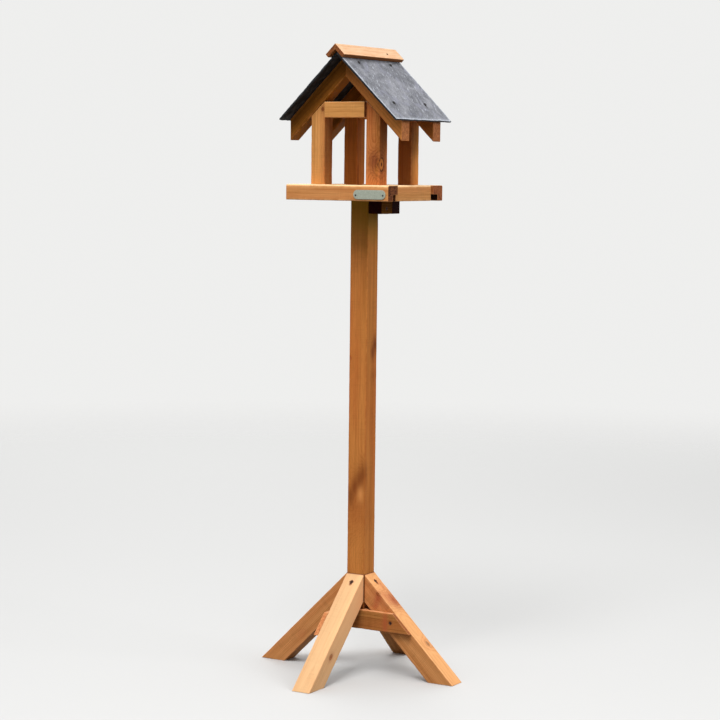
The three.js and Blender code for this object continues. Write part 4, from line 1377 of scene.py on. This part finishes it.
# The plate: a rounded slot outline shrunk inwards ring by ring, each ring a little prouder than the last.
def badgePlate():
    half, radius = badge["length"] / 2 - badge["height"] / 2, badge["height"] / 2
    around, beside = badge["capPoints"], badge["sidePoints"]
    turn = np.linspace(-quarterTurn, quarterTurn, around)
    cap = np.stack([np.cos(turn), np.sin(turn)], -1)
    straight = np.linspace(half, -half, beside + 2)[1:-1]
    side = np.stack([straight, 0 * straight], -1)
    core = np.vstack([np.tile([half, 0], (around, 1)), side, np.tile([-half, 0], (around, 1)), -side])
    outward = np.vstack([cap, np.tile([0, 1], (beside, 1)), -cap, np.tile([0, -1], (beside, 1))])
    rise = badge["rise"] * badge["thick"] / badge["rise"][-1]
    flat = core[None] + outward[None] * (radius - badge["inset"])[:, None, None]
    points = np.stack([flat[..., 0], -rise[:, None] + 0 * flat[..., 0], flat[..., 1]], -1)
    points = (points + np.array(badge["middle"])) * mm
    numbers = np.arange(points.shape[0] * points.shape[1]).reshape(points.shape[:2])
    faces = gridFaces(numbers) + [numbers[0, ::-1].tolist(), numbers[-1].tolist()]
    return points.reshape(-1, 3), faces


badgeLook = badge["look"] | {"bright": badge["bright"], "dull": badge["dull"]}
badgeMetal = metalMaterial("badgeMetal", badgeLook)
platePoints, plateFaces = badgePlate()
makePiece("badge_plate_metal", platePoints, plateFaces, {}, badgeMetal, "badge_plate", 40)
for side, sign in (("left", -1), ("right", 1)):
    x, y, z = badge["middle"]
    at = np.array([x + sign * badge["pinSpacing"] / 2, y - badge["thick"], z - badge["pinDrop"]]) * mm
    turnedFixing(f"badge_pin_{side}", "pin", at, (0, 1, 0), 0, darkSteel, crossed=False)
print("badge made")

# Floor, light and camera, all in metres.

studio = {
    "floorSeen": (0.5, 0.5, 0.495, 1),
    "floorBounce": (0.16, 0.16, 0.155, 1),
    "backdrop": (0.86, 0.86, 0.85, 1),
    "floorRings": np.array([0.02, 0.5, 1, 2, 3, 4.5, 7]),
    "floorSides": 64,
    "floorDrop": 0.0003,
    "fadeFrom": 2.2,
    "fadeTo": 5.5,
    "aim": (0, 0, 0.8),
    "skyFrom": -0.05,  # the sky brightens between these heights of a ray
    "skyTo": 0.75,
    "lowLight": 0.08,
    "skyLight": 1.0,
    "lamps": {
        "keyLamp": {"place": (0.5, -2.5, 5.0), "power": 212, "size": 2.2},
        "fillLamp": {"place": (4.0, 0.3, 3.7), "power": 66, "size": 2.0},
        "backLamp": {"place": (-2.8, 3.2, 3.2), "power": 70, "size": 2.5},
    },
    "cameraPlace": (2.3670512, -3.9943782, 1.1243144),
    "cameraAhead": (-0.5088444, 0.8559083, -0.0921870),
    "cameraUp": (-0.0566564, 0.0735586, 0.9956803),
    "lens": 105.755,
}


# 1 for the rays that show the background: from the camera, off a glossy surface or through glass.
def backgroundRays(bench):
    path = bench.add("ShaderNodeLightPath").outputs
    seen = bench.math("MAXIMUM", path["Is Camera Ray"], path["Is Glossy Ray"])
    return bench.math("MAXIMUM", seen, path["Is Transmission Ray"])


# The floor: a polar grid whose far part fades into the backdrop.
def studioFloor():
    turn = np.linspace(0, 2 * math.pi, studio["floorSides"], endpoint=False)
    reach, angle = np.meshgrid(studio["floorRings"], turn, indexing="ij")
    points = np.stack([reach * np.cos(angle), reach * np.sin(angle), 0 * reach - studio["floorDrop"]], -1)
    numbers = np.arange(reach.size).reshape(reach.shape)
    faces = gridFaces(numbers[::-1]) + [numbers[0].tolist()]
    mesh = bpy.data.meshes.new("studioFloor")
    mesh.from_pydata(points.reshape(-1, 3).tolist(), [], faces)
    material, bench, shader = startMaterial("studioFloor")
    place = bench.add("ShaderNodeTexCoord").outputs["Object"]
    away = bench.vector("LENGTH", place)
    below = bench.add("ShaderNodeNewGeometry").outputs["Backfacing"]
    share = bench.math("MAXIMUM", bench.step(away, studio["fadeFrom"], studio["fadeTo"]), below)
    clear = bench.add("ShaderNodeBsdfTransparent")
    mixed = bench.add("ShaderNodeMixShader", {0: share, 1: shader.outputs[0], 2: clear.outputs[0]})
    output = next(node for node in bench.tree.nodes if node.type == "OUTPUT_MATERIAL")
    bench.feed(output.inputs["Surface"], mixed.outputs[0])
    colour = bench.blend(backgroundRays(bench), studio["floorBounce"], studio["floorSeen"])
    bench.feed(shader.inputs["Base Color"], colour)
    shader.inputs["Roughness"].default_value = 0.9
    mesh.materials.append(material)
    floor = addObject("studioFloor", mesh)


def areaLamp(name, place, power, size):
    data = bpy.data.lights.new(name, "AREA")
    data.energy, data.size, data.shape = power, size, "SQUARE"
    lamp = addObject(name, data)
    lamp.location = place
    lamp.rotation_euler = (Vector(studio["aim"]) - Vector(place)).to_track_quat("-Z", "Y").to_euler()


def studioWorld():
    world = bpy.data.worlds.new("studioWorld")
    bpy.context.scene.world = world
    world.use_nodes = True
    world.node_tree.nodes.clear()
    bench = NodeBench(world.node_tree)
    ray = bench.add("ShaderNodeTexCoord").outputs["Generated"]
    toSky = bench.add("ShaderNodeSeparateXYZ", {0: ray}).outputs["Z"]
    brightness = (studio["lowLight"], studio["skyLight"])
    strength = bench.step(toSky, studio["skyFrom"], studio["skyTo"], brightness)
    light = bench.add("ShaderNodeBackground", {"Color": (1, 1, 1, 1), "Strength": strength})
    back = bench.add("ShaderNodeBackground", {"Color": studio["backdrop"], "Strength": 1.0})
    inputs = {0: backgroundRays(bench), 1: light.outputs[0], 2: back.outputs[0]}
    mixed = bench.add("ShaderNodeMixShader", inputs)
    output = bench.add("ShaderNodeOutputWorld")
    bench.feed(output.inputs["Surface"], mixed.outputs[0])


studioFloor()
for label, lamp in studio["lamps"].items():
    areaLamp(label, **lamp)
studioWorld()
cameraData = bpy.data.cameras.new("photoCamera")
cameraData.lens, cameraData.sensor_width = studio["lens"], 36
photoCamera = addObject("photoCamera", cameraData)
ahead, upward = Vector(studio["cameraAhead"]).normalized(), Vector(studio["cameraUp"]).normalized()
rightward = ahead.cross(upward)
turn = Matrix((rightward, rightward.cross(ahead), -ahead)).transposed().to_4x4()
photoCamera.matrix_world = Matrix.Translation(studio["cameraPlace"]) @ turn
bpy.context.scene.camera = photoCamera
bpy.context.scene.view_settings.view_transform = "Standard"
print("studio ready")

bpy.context.view_layer.update()
